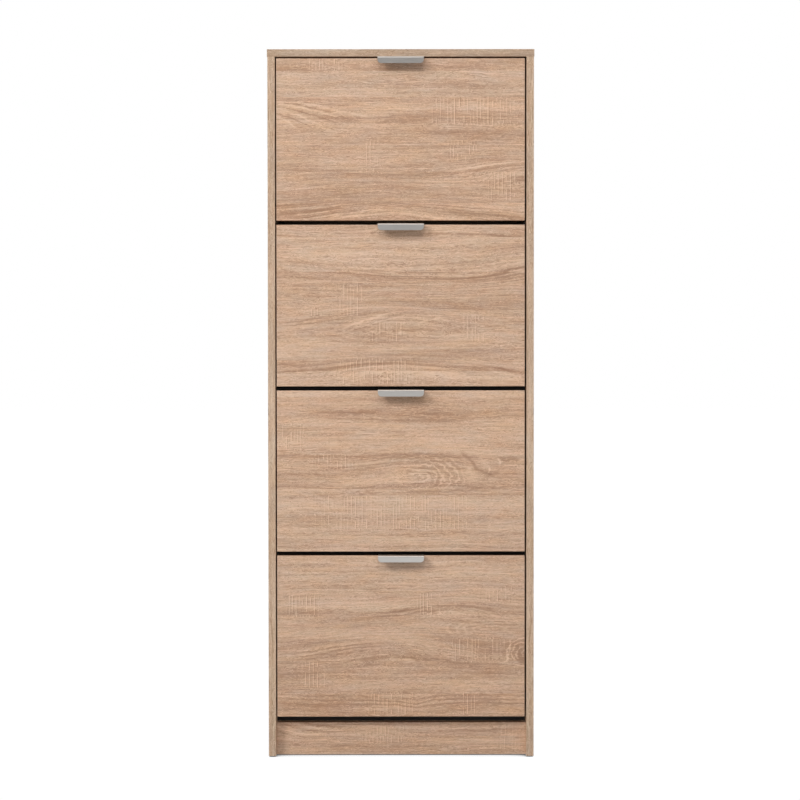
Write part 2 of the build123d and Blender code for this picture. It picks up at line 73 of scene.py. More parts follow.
METRE = 0.001  # one millimetre in the scene's unit
FACING = 0.7  # a face looks along a direction when its normal reaches this far along it
LAST_START = 0.999  # the last place on a ramp where a stave can start
FIRST_CUT = 0.37  # where on the print the first stave is cut, as a share of its length
GOLDEN = 0.618  # how far on each next stave is cut, so that no two are alike
PRINT_LENGTH = 900.0  # the print's length that the staves are cut from
SLIDE = 3.7  # how much further the figure slides along a stave than across it
BAND_LEVEL = 40.0  # where across the print the band on a board's end is cut
BAND_RISE = 0.05  # the share of the board's own level that is left in its band
WAVES = (240.0, 70.0, 14.0)  # length, width and height of the slow waves in the grain
RIGHT: Triple = (1.0, 0.0, 0.0)
BACK: Triple = (0.0, 1.0, 0.0)
DOWN: Triple = (0.0, 0.0, -1.0)
BACK_AND_DOWN: Triple = (0.0, 1.0, -1.0)
OAK_TONES: Stops = (
    (0.0, (0.345, 0.207, 0.133)),
    (0.20, (0.434, 0.273, 0.183)),
    (0.38, (0.510, 0.336, 0.232)),
    (0.50, (0.564, 0.380, 0.266)),
    (0.65, (0.631, 0.436, 0.309)),
    (0.80, (0.684, 0.482, 0.346)),
    (1.0, (0.740, 0.535, 0.392)),
)
CHIP_TONES: Stops = (
    (0.0, (0.23, 0.14, 0.075)),
    (0.25, (0.42, 0.29, 0.17)),
    (0.7, (0.55, 0.40, 0.25)),
    (1.0, (0.66, 0.52, 0.35)),
)
HARDBOARD_TONES: Stops = (
    (0.30, (0.150, 0.088, 0.048)),
    (0.46, (0.285, 0.182, 0.108)),
    (0.56, (0.355, 0.236, 0.146)),
    (0.75, (0.450, 0.315, 0.205)),
)
BEECH_TONES: Stops = ((0.3, (0.40, 0.25, 0.14)), (0.5, (0.60, 0.42, 0.26)), (0.7, (0.68, 0.50, 0.33)))


# ---------------------------------------------------------------- node trees


class Graph:
    """A node tree with short ways to add nodes, each of which returns the new node's result."""

    def __init__(self, tree: bpy.types.NodeTree) -> None:
        """Wraps a material's, world's or group's tree."""
        self.tree = tree

    def feed(self, node: Node, inputs: dict[str | int, Feed]) -> None:
        """Links sockets into a node's inputs, or sets the inputs' own values.

        Args:
            node: the node to feed.
            inputs: what goes into each input, by its name or place, with three numbers for a colour.
        """
        for key, value in inputs.items():
            if isinstance(value, Socket):
                self.tree.links.new(value, node.inputs[key])
            elif node.inputs[key].type == "RGBA":
                node.inputs[key].default_value = (*value, 1.0)
            else:
                node.inputs[key].default_value = value

    def add(self, kind: str, inputs: dict[str | int, Feed] | None = None, **settings: object) -> Node:
        """Adds a node.

        Args:
            kind: the node's type name.
            inputs: what goes into its inputs, by name or place.
            **settings: values for its own properties.

        Returns:
            The new node.
        """
        node = self.tree.nodes.new(kind)
        for name, value in settings.items():
            setattr(node, name, value)
        self.feed(node, inputs or {})
        return node

    def math(self, operation: str, *values: Feed, clamp: bool = False) -> Socket:
        """Works out numbers with one operation, kept between 0 and 1 when clamped."""
        node = self.add("ShaderNodeMath", dict(enumerate(values)), operation=operation, use_clamp=clamp)
        return node.outputs[0]

    def times(self, first: Feed, second: Feed) -> Socket:
        """Multiplies two numbers."""
        return self.math("MULTIPLY", first, second)

    def over(self, first: Feed, second: Feed) -> Socket:
        """Divides one number by another."""
        return self.math("DIVIDE", first, second)

    def minus(self, first: Feed, second: Feed) -> Socket:
        """Takes one number from another."""
        return self.math("SUBTRACT", first, second)

    def slope(self, value: Feed, factor: Feed, base: Feed) -> Socket:
        """Multiplies a value by a factor and adds a base."""
        return self.math("MULTIPLY_ADD", value, factor, base)

    def apart(self, value: Feed, middle: float) -> Socket:
        """How far a value is from a middle, either way."""
        return self.math("ABSOLUTE", self.minus(value, middle))

    def bell(self, square: Feed) -> Socket:
        """A soft bump from the square of the distance, 1 where that is 0."""
        return self.math("EXPONENT", self.times(square, -1.0))

    def vector(self, operation: str, first: Feed, second: Feed = (0.0, 0.0, 0.0)) -> Socket:
        """Works out two vectors with one operation."""
        node = self.add("ShaderNodeVectorMath", {0: first, 1: second}, operation=operation)
        return node.outputs["Vector"]

    def dot(self, first: Feed, second: Feed) -> Socket:
        """Dot product of two vectors."""
        node = self.add("ShaderNodeVectorMath", {0: first, 1: second}, operation="DOT_PRODUCT")
        return node.outputs["Value"]

    def join(self, *numbers: Feed) -> Socket:
        """Makes a vector of two or three numbers."""
        return self.add("ShaderNodeCombineXYZ", dict(enumerate(numbers))).outputs[0]

    def split(self, vector: Socket) -> tuple[Socket, ...]:
        """Takes a vector apart into its three numbers."""
        return tuple(self.add("ShaderNodeSeparateXYZ", {0: vector}).outputs)

    def noise(
        self,
        place: Socket,
        per: Feed | None = None,
        detail: float = 2.0,
        rough: float = 0.5,
        flat: bool = False,
    ) -> Socket:
        """Reads smooth noise.

        Args:
            place: where it is read.
            per: cells of noise in a unit of each axis, or nothing for one.
            detail: how many finer layers are added.
            rough: how strong the finer layers are.
            flat: read two dimensions, not three.

        Returns:
            The noise from 0 to 1.
        """
        if per is not None:
            place = self.vector("MULTIPLY", place, per)
        inputs: dict[str | int, Feed] = {"Vector": place, "Scale": 1.0, "Detail": detail, "Roughness": rough}
        node = self.add("ShaderNodeTexNoise", inputs, noise_dimensions="2D" if flat else "3D")
        return node.outputs["Fac"]

    def cells(self, place: Socket, scale: float) -> Socket:
        """Gives each cell of a cracked pattern its own random colour."""
        return self.add("ShaderNodeTexVoronoi", {"Vector": place, "Scale": scale}).outputs["Color"]

    def step(self, value: Feed, low: float, high: float, to_low: float = 0.0, to_high: float = 1.0) -> Socket:
        """Eases from one number to another while the value goes from low to high."""
        inputs = dict(enumerate((value, low, high, to_low, to_high)))
        return self.add("ShaderNodeMapRange", inputs, interpolation_type="SMOOTHSTEP").outputs[0]

    def fade(self, value: Feed, low: float, high: float, start: float = 1.0) -> Socket:
        """Eases from a start down to 0 while the value goes from low to high."""
        return self.step(value, low, high, start, 0.0)

    def ramp(self, factor: Feed, stops: Stops, stepped: bool = False) -> Socket:
        """Looks a colour up.

        Args:
            factor: the value that is looked up.
            stops: positions from 0 to 1 with their colours.
            stepped: hold each colour until the next stop.

        Returns:
            The colour's socket.
        """
        node = self.add("ShaderNodeValToRGB", {"Fac": factor})
        ramp = node.color_ramp
        ramp.interpolation = "CONSTANT" if stepped else "LINEAR"
        while len(ramp.elements) < len(stops):
            ramp.elements.new(1.0)
        for element, (position, colour) in zip(ramp.elements, stops):
            element.position = position
            element.color = (*colour, 1.0)
        return node.outputs["Color"]

    def mix(self, factor: Feed, first: Feed, second: Feed, blend: str = "MIX") -> Socket:
        """Mixes two colours, or lays the second on the first in another blend type."""
        inputs: dict[str | int, Feed] = {0: factor, 6: first, 7: second}
        return self.add("ShaderNodeMix", inputs, data_type="RGBA", blend_type=blend).outputs[2]

    def blend(self, factor: Feed, first: Feed, second: Feed) -> Socket:
        """Mixes two numbers."""
        return self.add("ShaderNodeMix", {0: factor, 2: first, 3: second}, data_type="FLOAT").outputs[0]

    def choose(self, factor: Socket, first: Socket, second: Socket, end: str) -> None:
        """Mixes two shaders and joins them to the tree's end, a node of the type that is named."""
        node = self.add("ShaderNodeMixShader", {0: factor, 1: first, 2: second})
        self.add(end, {"Surface": node.outputs[0]})

    def effect(self, kind: "type[Effect]", **values: Feed) -> tuple[Socket, ...]:
        """Places a shared effect with its inputs by name, and returns its outputs in order."""
        return tuple(self.add("ShaderNodeGroup", values, node_tree=kind.tree()).outputs)

    def draw(self, features: "tuple[Feature, ...]", place: Socket, **values: Feed) -> tuple[Feed, ...]:
        """Takes some values through the effects of some features, one after another.

        Args:
            features: the features in order.
            place: millimetres along and across the grain.
            **values: the values before the first feature, named and ordered as the effect's outputs.

        Returns:
            The values after the last feature.
        """
        for feature in features:
            made = self.effect(feature.effect, Place=place, **values, **feature.inputs())
            values = dict(zip(values, made))
        return tuple(values.values())

    def facing(self, normal: Socket, directions: tuple[Triple, ...]) -> Feed:
        """Masks the faces that look along any of some directions.

        Args:
            normal: the object's own normal.
            directions: the directions.

        Returns:
            The mask.
        """
        mask: Feed = 0.0
        for direction in directions:
            seen = self.math("GREATER_THAN", self.dot(normal, direction), FACING)
            mask = self.math("MAXIMUM", seen, mask)
        return mask


class Kind(Enum):
    """Kinds of socket that the shared effects have."""

    NUMBER = "NodeSocketFloat"
    VECTOR = "NodeSocketVector"
    COLOUR = "NodeSocketColor"


def sockets(kind: Kind, *names: str) -> dict[str, Kind]:
    """Sockets of one kind."""
    return dict.fromkeys(names, kind)


class Effect:
    """A node group that several materials share, built once and placed in each with its own values."""

    name: ClassVar[str]
    takes: ClassVar[dict[str, Kind]]
    gives: ClassVar[dict[str, Kind]]

    @classmethod
    def tree(cls) -> bpy.types.NodeTree:
        """Builds the group the first time that it is asked for.

        Returns:
            The group's tree.
        """
        made = bpy.data.node_groups.get(cls.name)
        if made is not None:
            return made
        made = bpy.data.node_groups.new(cls.name, "ShaderNodeTree")
        for way, named in (("INPUT", cls.takes), ("OUTPUT", cls.gives)):
            for name, kind in named.items():
                made.interface.new_socket(name, in_out=way, socket_type=kind.value)
        graph = Graph(made)
        entry = graph.add("NodeGroupInput")
        results = cls.wire(graph, [entry.outputs[name] for name in cls.takes])
        graph.add("NodeGroupOutput", dict(zip(cls.gives, results)))
        return made

    @classmethod
    def wire(cls, graph: Graph, given: list[Socket]) -> tuple[Socket, ...]:
        """Fills the group.

        Args:
            graph: the group's tree.
            given: the group's inputs in order.

        Returns:
            What goes to the group's outputs, in order.
        """
        raise NotImplementedError


class GrainSpot(Effect):
    """One place where the oak's rings bend round a knot or run out in an arc."""

    name = "Grain spot"
    takes = {
        **sockets(Kind.VECTOR, "Place", "Centre", "Spread"),
        **sockets(Kind.NUMBER, "Flow", "Shade", "Lift", "Depth"),
    }
    gives = sockets(Kind.NUMBER, "Flow", "Shade")

    @classmethod
    def wire(cls, graph: Graph, given: list[Socket]) -> tuple[Socket, ...]:
        """Adds a smooth bump to the flow and to the shade."""
        place, centre, spread, flow, shade, lift, depth = given
        local = graph.vector("MULTIPLY", graph.vector("SUBTRACT", place, centre), spread)
        bump = graph.bell(graph.dot(local, local))
        return graph.slope(bump, lift, flow), graph.slope(bump, depth, shade)


class GrainArch(Effect):
    """Nested arches where the rings run out, pointing along the grain."""

    name = "Grain arch"
    takes = {
        **sockets(Kind.VECTOR, "Place", "Centre", "Size"),
        **sockets(Kind.NUMBER, "Tone", "Rings", "Depth"),
    }
    gives = sockets(Kind.NUMBER, "Tone")

    @classmethod
    def wire(cls, graph: Graph, given: list[Socket]) -> tuple[Socket, ...]:
        """Draws light rings round the arches' head, with arms behind it and their lower side cut off."""
        place, centre, size, tone, rings, depth = given
        u, v, _ = graph.split(graph.vector("DIVIDE", graph.vector("SUBTRACT", place, centre), size))
        ahead = graph.math("MAXIMUM", u, graph.times(u, -0.25))
        square = graph.slope(v, v, graph.times(ahead, ahead))
        waves = graph.noise(place, (0.06, 0.09, 0.0), flat=True)
        away = graph.slope(graph.minus(waves, 0.5), 0.26, graph.math("SQRT", square))
        turns = graph.math("FRACT", graph.times(away, rings))
        line = graph.step(graph.apart(turns, 0.5), 0.22, 0.46, -0.35, 0.75)
        head = graph.times(graph.fade(away, 1.0, 1.25), graph.step(u, -1.1, -0.1))
        mask = graph.times(head, graph.fade(v, 0.30, 0.52))
        return (graph.slope(line, graph.times(mask, depth), tone),)


class GrainVein(Effect):
    """One dark or light line in the grain, straight or bowed."""

    name = "Grain vein"
    takes = {
        **sockets(Kind.VECTOR, "Place", "Centre", "Run", "Rise"),
        **sockets(Kind.NUMBER, "Tone", "Bow", "Depth"),
    }
    gives = sockets(Kind.NUMBER, "Tone")

    @classmethod
    def wire(cls, graph: Graph, given: list[Socket]) -> tuple[Socket, ...]:
        """Fades the line out towards its ends and its sides, with a slight waver."""
        place, centre, run, rise, tone, bow, depth = given
        waves = graph.noise(place, (0.05, 0.10, 0.0), detail=1.0, flat=True)
        waver = graph.join(0.0, graph.times(graph.minus(waves, 0.5), 5.0))
        offset = graph.vector("ADD", graph.vector("SUBTRACT", place, centre), waver)
        root = graph.dot(offset, run)
        u = graph.times(root, root)
        v = graph.slope(u, bow, graph.dot(offset, rise))
        line = graph.bell(graph.slope(v, v, graph.times(u, u)))
        return (graph.slope(line, graph.times(depth, -1.9), tone),)


class SawPatch(Effect):
    """One patch of a stave where the saw's marks are left across the grain."""

    name = "Saw patch"
    takes = {
        **sockets(Kind.VECTOR, "Place", "Centre", "Spread"),
        **sockets(Kind.NUMBER, "Marks", "Strength"),
    }
    gives = sockets(Kind.NUMBER, "Marks")

    @classmethod
    def wire(cls, graph: Graph, given: list[Socket]) -> tuple[Socket, ...]:
        """Adds a soft-ended box to the mask of marks."""
        place, centre, spread, marks, strength = given
        local = graph.vector("MULTIPLY", graph.vector("SUBTRACT", place, centre), spread)
        x, y, _ = graph.split(graph.vector("ABSOLUTE", local))
        patch = graph.times(graph.fade(x, 0.55, 1.15), graph.fade(y, 0.9, 1.08))
        return (graph.slope(patch, strength, marks),)


class OakPrint(Effect):
    """Printed rough-sawn oak: staves, streaks, growth rings, pores and saw marks."""

    name = "Oak print"
    takes = sockets(Kind.NUMBER, "Along", "Across", "Level", "Tone", "Warmth", "Shade", "Marks")
    gives = {**sockets(Kind.COLOUR, "Color"), **sockets(Kind.NUMBER, "Roughness", "Height")}

    @classmethod
    def wire(cls, graph: Graph, given: list[Socket]) -> tuple[Socket, ...]:
        """Lays the streaks over one another and colours them."""
        along, across, level, tone, warmth, shade, marks = given

        def layer(run: Socket, rise: Socket, length: float, width: float, detail: float = 0.0) -> Socket:
            """Noise stretched along the grain, from -0.5 to 0.5."""
            place = graph.vector("DIVIDE", graph.join(run, rise), (length, width, 1.0))
            return graph.minus(graph.noise(place, detail=detail, rough=0.55, flat=True), 0.5)

        sway = graph.slope(layer(along, across, 42.0, 12.0, 1.0), 6.0, across)
        slip = graph.slope(layer(along, across, 27.0, 2.7), 60.0, along)
        broad = layer(along, across, 320.0, 32.0, 2.0)
        streak = layer(along, sway, 200.0, 8.0, 2.0)
        fibre = layer(along, sway, 30.0, 2.4, 1.0)
        dash = layer(slip, sway, 3.9, 2.3, 1.0)
        pore = graph.step(layer(slip, sway, 11.0, 1.2), 0.12, 0.30)
        drift = graph.slope(streak, 9.0, across)
        rings = graph.noise(graph.join(graph.over(drift, 3.6), 3.7), detail=1.0, flat=True)
        contrast = graph.slope(graph.math("ABSOLUTE", shade), 0.45, 0.12)
        ring = graph.times(graph.step(rings, 0.40, 0.60, -0.5, 0.5), contrast)
        saw = graph.times(cls.strokes(graph, along, level), marks)
        value = tone
        for part, weight in (
            (broad, 0.66),
            (streak, 0.40),
            (fibre, 0.26),
            (dash, 1.95),
            (pore, -0.16),
            (ring, -1.0),
            (shade, -0.11),
            (saw, 0.62),
        ):
            value = graph.slope(part, weight, value)
        colour = graph.ramp(graph.minus(value, 0.5), OAK_TONES)
        rosy = graph.slope(layer(along, across, 60.0, 17.0, 2.0), 0.14, warmth)
        blue = graph.times(layer(slip, across, 90.0, 24.0, 2.0), 0.12)
        red = graph.math("ADD", 1.0, rosy)
        tint = graph.join(red, 1.0, graph.minus(graph.math("ADD", 1.0, blue), rosy))
        relief = graph.slope(pore, -1.0, graph.times(dash, 0.5))
        return (
            graph.mix(1.0, colour, tint, "MULTIPLY"),
            graph.slope(streak, 0.25, 0.56),
            graph.slope(saw, 0.6, relief),
        )

    @staticmethod
    def strokes(graph: Graph, along: Socket, level: Socket) -> Socket:
        """Draws the saw's strokes, each a light line with a dark one beside it and with ends of its own.

        Args:
            graph: the group's tree.
            along: millimetres along the grain.
            level: millimetres across the grain.

        Returns:
            How light the marks are, below zero where they are dark.
        """
        wander = graph.noise(graph.join(graph.over(along, 34.0), 9.1), detail=1.0, flat=True)
        stroke = graph.slope(wander, 1.3, graph.over(along, 8.0))
        turn = graph.math("FRACT", stroke)
        light = graph.fade(graph.apart(turn, 0.5), 0.05, 0.12)
        dark = graph.fade(graph.apart(turn, 0.72), 0.05, 0.12, 0.45)
        own = graph.times(graph.math("FLOOR", stroke), 5.37)
        run_out = graph.noise(graph.join(own, graph.over(level, 26.0)), detail=1.0, flat=True)
        return graph.times(graph.minus(light, dark), graph.step(run_out, 0.38, 0.56))


class RawChips(Effect):
    """Bare particle board, as it shows on edges without a band."""

    name = "Raw chips"
    takes = sockets(Kind.VECTOR, "Place")
    gives = {**sockets(Kind.COLOUR, "Color"), **sockets(Kind.NUMBER, "Height")}

    @classmethod
    def wire(cls, graph: Graph, given: list[Socket]) -> tuple[Socket, ...]:
        """Colours each chip and sinks the gaps between them."""
        (place,) = given
        warp = graph.noise(place, (0.5, 0.5, 0.5))
        red, green, _ = graph.split(graph.cells(graph.vector("ADD", place, warp), 0.55))
        fine = graph.noise(place, (2.0, 2.0, 2.0), 3.0, 0.7)
        shade = graph.step(fine, 0.3, 0.7, 0.72, 1.12)
        colour = graph.mix(1.0, graph.ramp(red, CHIP_TONES), graph.join(shade, shade, shade), "MULTIPLY")
        return colour, graph.slope(fine, 0.7, graph.times(green, 0.5))


class Speckle(Effect):
    """Fine moulded or pressed texture with soft handling marks."""

    name = "Speckle"
    takes = {**sockets(Kind.VECTOR, "Place"), **sockets(Kind.NUMBER, "Size")}
    gives = sockets(Kind.NUMBER, "Height", "Rub")

    @classmethod
    def wire(cls, graph: Graph, given: list[Socket]) -> tuple[Socket, ...]:
        """Layers a fine grain under broad, faint rub marks."""
        place, size = given
        per = graph.over(1.0, size)
        rub = graph.noise(place, (0.02, 0.02, 0.035), 4.0, 0.6)
        return graph.noise(place, graph.join(per, per, per), 2.0, 0.6), graph.step(rub, 0.35, 0.7)


class BrushedLines(Effect):
    """Hair lines that run along one direction of the metal."""

    name = "Brushed lines"
    takes = sockets(Kind.VECTOR, "Place", "Stretch")
    gives = sockets(Kind.NUMBER, "Lines")

    @classmethod
    def wire(cls, graph: Graph, given: list[Socket]) -> tuple[Socket, ...]:
        """Reads noise that is drawn out along the lines."""
        place, stretch = given
        return (graph.noise(place, stretch, 3.0, 0.65),)


# ---------------------------------------------------------------- finishes


class Slot(Enum):
    """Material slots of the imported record."""

    OAK_FOIL = "oak_foil"
    BLACK_FOIL = "black_foil"
    HARDBOARD = "hardboard"
    BLACK_PLASTIC = "black_plastic"
    WHITE_PLASTIC = "white_plastic"
    SATIN_ALUMINIUM = "satin_aluminium"
    ZINC_STEEL = "zinc_steel"
    ZINC_ALLOY = "zinc_alloy"
    BEECH = "beech"


@dataclass
class Coat:
    """What a finish lays on a surface.

    Attributes:
        colour: its colour.
        roughness: how dull it is.
        relief: the height that its bumps are made from.
        strength: how strongly the bumps show.
        depth: how deep they are.
        shine: how much a finish that isn't metal mirrors.
        metallic: 1 for metal.
    """

    colour: Socket
    roughness: Socket
    relief: Socket
    strength: float
    depth: float
    shine: float = 0.5
    metallic: float = 0.0


@dataclass(frozen=True)
class Finish:
    """A finish: a procedural material and the record's slot that it belongs to.

    Attributes:
        name: the material's name.
        slot: the record's slot.
    """

    name: str
    slot: Slot

    def material(self) -> bpy.types.Material:
        """Makes the finish's material the first time that it is asked for.

        Returns:
            The material.
        """
        made = bpy.data.materials.get(self.name)
        if made is not None:
            return made
        made = bpy.data.materials.new(self.name)
        made.use_nodes = True
        graph = Graph(made.node_tree)
        seen = graph.add("ShaderNodeTexCoord").outputs
        scaled = graph.add("ShaderNodeMapping", {"Vector": seen["Object"], "Scale": (1.0 / METRE,) * 3})
        coat = self.coat(graph, scaled.outputs[0], seen["Normal"])
        bump = graph.add("ShaderNodeBump", {"Strength": coat.strength, "Distance": coat.depth * METRE})
        graph.feed(bump, {"Height": coat.relief})
        inputs: dict[str | int, Feed] = {
            "Base Color": coat.colour,
            "Roughness": coat.roughness,
            "Metallic": coat.metallic,
            "Specular IOR Level": coat.shine,
            "Normal": bump.outputs[0],
        }
        graph.feed(made.node_tree.nodes["Principled BSDF"], inputs)
        return made

    def coat(self, graph: Graph, place: Socket, normal: Socket) -> Coat:
        """Works out what the finish lays on the surface.

        Args:
            graph: the material's tree.
            place: object coordinates in millimetres.
            normal: the object's own normal.

        Returns:
            The coat.
        """
        raise NotImplementedError


@dataclass(frozen=True)
class Stave:
    """One printed stave.

    Attributes:
        start: where it starts across the grain.
        tone: its lightness, 1 for the mean.
        warmth: its shift to red and away from blue.
    """

    start: float
    tone: float = 1.0
    warmth: float = 0.0


@dataclass(frozen=True)
class Feature:
    """Something that a shared effect draws in the print.

    Attributes:
        effect: the effect.
        along: its middle along the grain.
        across: its middle across the grain.
        length: its reach along the grain to each side.
        width: its reach across the grain to each side.
    """

    effect: ClassVar[type[Effect]]
    along: float
    across: float
    length: float
    width: float

    def inputs(self) -> dict[str, Feed]:
        """The effect's own inputs for the feature."""
        return {"Centre": (self.along, self.across, 0.0)}

    def spread(self) -> Triple:
        """What turns millimetres into shares of the feature's reach."""
        return (1.0 / self.length, 1.0 / self.width, 0.0)


@dataclass(frozen=True)
class Spot(Feature):
    """A knot, arc or streak in the grain.

    Attributes:
        lift: how far the rings bend, in millimetres.
        depth: how dark it is and how strongly its rings show.
    """

    effect = GrainSpot
    lift: float
    depth: float

    def inputs(self) -> dict[str, Feed]:
        """The spot's reach, lift and depth."""
        return {**super().inputs(), "Spread": self.spread(), "Lift": self.lift, "Depth": self.depth}


@dataclass(frozen=True)
class Arch(Feature):
    """Nested arches that point along the grain, with a length below zero to point the other way.

    Attributes:
        rings: how many of them follow one another.
        depth: how strongly they show.
    """

    effect = GrainArch
    rings: float
    depth: float

    def inputs(self) -> dict[str, Feed]:
        """The arches' size, number and depth."""
        size = (self.length, self.width, 1.0)
        return {**super().inputs(), "Size": size, "Rings": self.rings, "Depth": self.depth}


@dataclass(frozen=True)
class Vein(Feature):
    """A dark or light line that follows the bent grain, placed as if the grain weren't bent.

    Attributes:
        depth: how dark it is, below zero for a light one.
        turn: its turn from the grain in degrees, falling to the right above zero.
        bow: how far its ends sink below its middle.
    """

    effect = GrainVein
    depth: float
    turn: float = 0.0
    bow: float = 0.0

    def inputs(self) -> dict[str, Feed]:
        """The vein's own axes, its bow and its depth."""
        cosine, sine = math.cos(math.radians(self.turn)), math.sin(math.radians(self.turn))
        return {
            **super().inputs(),
            "Run": (cosine / self.length, sine / self.length, 0.0),
            "Rise": (-sine / self.width, cosine / self.width, 0.0),
            "Bow": -self.bow / self.width,
            "Depth": self.depth,
        }


@dataclass(frozen=True)
class Saw(Feature):
    """A patch of saw marks.

    Attributes:
        strength: how strongly they show.
    """

    effect = SawPatch
    strength: float = 1.0

    def inputs(self) -> dict[str, Feed]:
        """The patch's reach and strength."""
        return {**super().inputs(), "Spread": self.spread(), "Strength": self.strength}


def rows(kind: Callable[..., Item], *numbers: tuple[float, ...]) -> tuple[Item, ...]:
    """Makes a thing of one kind from each row of numbers."""
    return tuple(kind(*row) for row in numbers)


@dataclass(frozen=True)
class Figure:
    """The printed figure of one board.

    Attributes:
        seed: where on the print the board was cut, in millimetres.
        staves: the staves in order across the grain.
        spots: knots, arcs and streaks.
        arches: nested arches.
        veins: lines that follow the bent grain.
        saws: patches of saw marks.
    """

    seed: float
    staves: tuple[Stave, ...]
    spots: tuple[Spot, ...] = ()
    arches: tuple[Arch, ...] = ()
    veins: tuple[Vein, ...] = ()
    saws: tuple[Saw, ...] = ()


@dataclass(frozen=True)
class Lay:
    """How the print lies on a board.

    Attributes:
        corner: the board's corner where the figure starts.
        extent: the board's size across the grain.
        along: direction along the grain.
        across: directions across the grain, added together.
        band: direction along the band on the board's left and right ends, or zero without a band.
        raw: directions of the bare edges.
    """

    corner: Triple
    extent: float
    along: Triple
    across: Triple
    band: Triple
    raw: tuple[Triple, ...]


@dataclass(frozen=True)
class OakFoil(Finish):
    """Printed oak foil on particle board, with its own figure for each board.

    Attributes:
        figure: the print.
        lay: how the print lies on the board.
        cast: a slight tint that the whole board's colour is multiplied by.
    """

    figure: Figure
    lay: Lay
    cast: Triple = (1.0, 1.0, 1.0)

    def coat(self, graph: Graph, place: Socket, normal: Socket) -> Coat:
        """Draws the figure, and bare chips on the edges without a band."""
        local = graph.vector("SUBTRACT", place, self.lay.corner)
        along = graph.dot(local, self.lay.along)
        level = graph.dot(local, self.lay.across)
        if any(self.lay.band):
            sideways = graph.math("ABSOLUTE", graph.dot(normal, RIGHT))
            end = graph.math("GREATER_THAN", sideways, FACING)
            along = graph.blend(end, along, graph.dot(local, self.lay.band))
            level = graph.blend(end, level, graph.slope(level, BAND_RISE, BAND_LEVEL))
        tone, warmth, jump = self.staves(graph, level)
        spot = graph.join(along, level)
        flow, shade = self.flow(graph, spot, jump)
        bent = graph.join(along, graph.minus(flow, jump))
        (tone,) = graph.draw(self.figure.arches, spot, Tone=tone)
        (tone,) = graph.draw(self.figure.veins, bent, Tone=tone)
        (marks,) = graph.draw(self.figure.saws, spot, Marks=0.0)
        run = graph.math("ADD", along, graph.times(jump, SLIDE))
        given = {"Level": level, "Tone": tone, "Warmth": warmth, "Shade": shade, "Marks": marks}
        colour, roughness, relief = graph.effect(OakPrint, Along=run, Across=flow, **given)
        colour = graph.mix(1.0, colour, self.cast, "MULTIPLY")
        if self.lay.raw:
            bare = graph.facing(normal, self.lay.raw)
            chips, pits = graph.effect(RawChips, Place=place)
            colour = graph.mix(bare, colour, chips)
            roughness = graph.math("MULTIPLY_ADD", bare, 0.3, roughness, clamp=True)
            relief = graph.blend(bare, relief, graph.times(pits, 6.0))
        return Coat(colour, roughness, relief, strength=0.5, depth=0.08, shine=0.35)

    def staves(self, graph: Graph, level: Socket) -> tuple[Socket, Socket, Socket]:
        """Looks up the stave at a level.

        Args:
            graph: the material's tree.
            level: millimetres across the grain.

        Returns:
            The stave's tone, its warmth and its jump along the print.
        """
        stops = tuple(
            (
                min(stave.start / self.lay.extent, LAST_START),
                (stave.tone / 2.0, 0.5 + stave.warmth, (FIRST_CUT + GOLDEN * count) % 1.0),
            )
            for count, stave in enumerate(self.figure.staves)
        )
        looked = graph.ramp(graph.over(level, self.lay.extent), stops, stepped=True)
        tone, warmth, jump = graph.split(looked)
        shift = graph.slope(jump, PRINT_LENGTH, self.figure.seed)
        return graph.times(tone, 2.0), graph.minus(warmth, 0.5), shift

    def flow(self, graph: Graph, spot: Socket, jump: Socket) -> tuple[Feed, ...]:
        """Bends and darkens the grain, gently all over and more at each spot.

        Args:
            graph: the material's tree.
            spot: millimetres along and across the grain.
            jump: the stave's jump along the print.

        Returns:
            The flowing coordinate across the grain, and the shade.
        """
        along, level, _ = graph.split(spot)
        length, width, height = WAVES
        slow = graph.join(graph.over(graph.math("ADD", along, jump), length), graph.over(level, width))
        waviness = graph.minus(graph.noise(slow, detail=1.0, flat=True), 0.5)
        start = graph.math("ADD", graph.slope(waviness, height, level), jump)
        return graph.draw(self.figure.spots, spot, Flow=start, Shade=0.0)


@dataclass(frozen=True)
class BlackFoil(Finish):
    """Matt black foil with a pressed grain, and bare chips on the edges that stay hidden at the back."""

    def coat(self, graph: Graph, place: Socket, normal: Socket) -> Coat:
        """Presses a fine grain along the board and leaves its back edge bare."""
        (lines,) = graph.effect(BrushedLines, Place=place, Stretch=(0.06, 0.8, 0.8))
        _, rub = graph.effect(Speckle, Place=place, Size=1.2)
        chips, pits = graph.effect(RawChips, Place=place)
        bare = graph.facing(normal, (BACK,))
        black = graph.mix(graph.step(lines, 0.3, 0.7), (0.036, 0.031, 0.028), (0.060, 0.052, 0.047))
        dull = graph.math("MULTIPLY_ADD", bare, 0.4, graph.slope(rub, 0.12, 0.42), clamp=True)
        colour = graph.mix(bare, black, chips)
        return Coat(colour, dull, graph.blend(bare, lines, pits), strength=0.4, depth=0.15)


@dataclass(frozen=True)
class Hardboard(Finish):
    """Pressed wood-fibre board, smooth and brown with darker fibres."""

    def coat(self, graph: Graph, place: Socket, normal: Socket) -> Coat:
        """Mottles the board and lays short fibres over it."""
        _, rub = graph.effect(Speckle, Place=place, Size=3.5)
        fibre = graph.noise(place, (0.22, 0.9, 0.9), 3.0, 0.7)
        thread = graph.noise(place, (1.4, 1.4, 0.25), 2.0, 0.6)
        value = graph.slope(rub, 0.06, graph.slope(fibre, 0.55, graph.times(thread, 0.45)))
        dull = graph.step(value, 0.3, 0.7, 0.72, 0.52)
        return Coat(graph.ramp(value, HARDBOARD_TONES), dull, value, strength=0.35, depth=0.2)


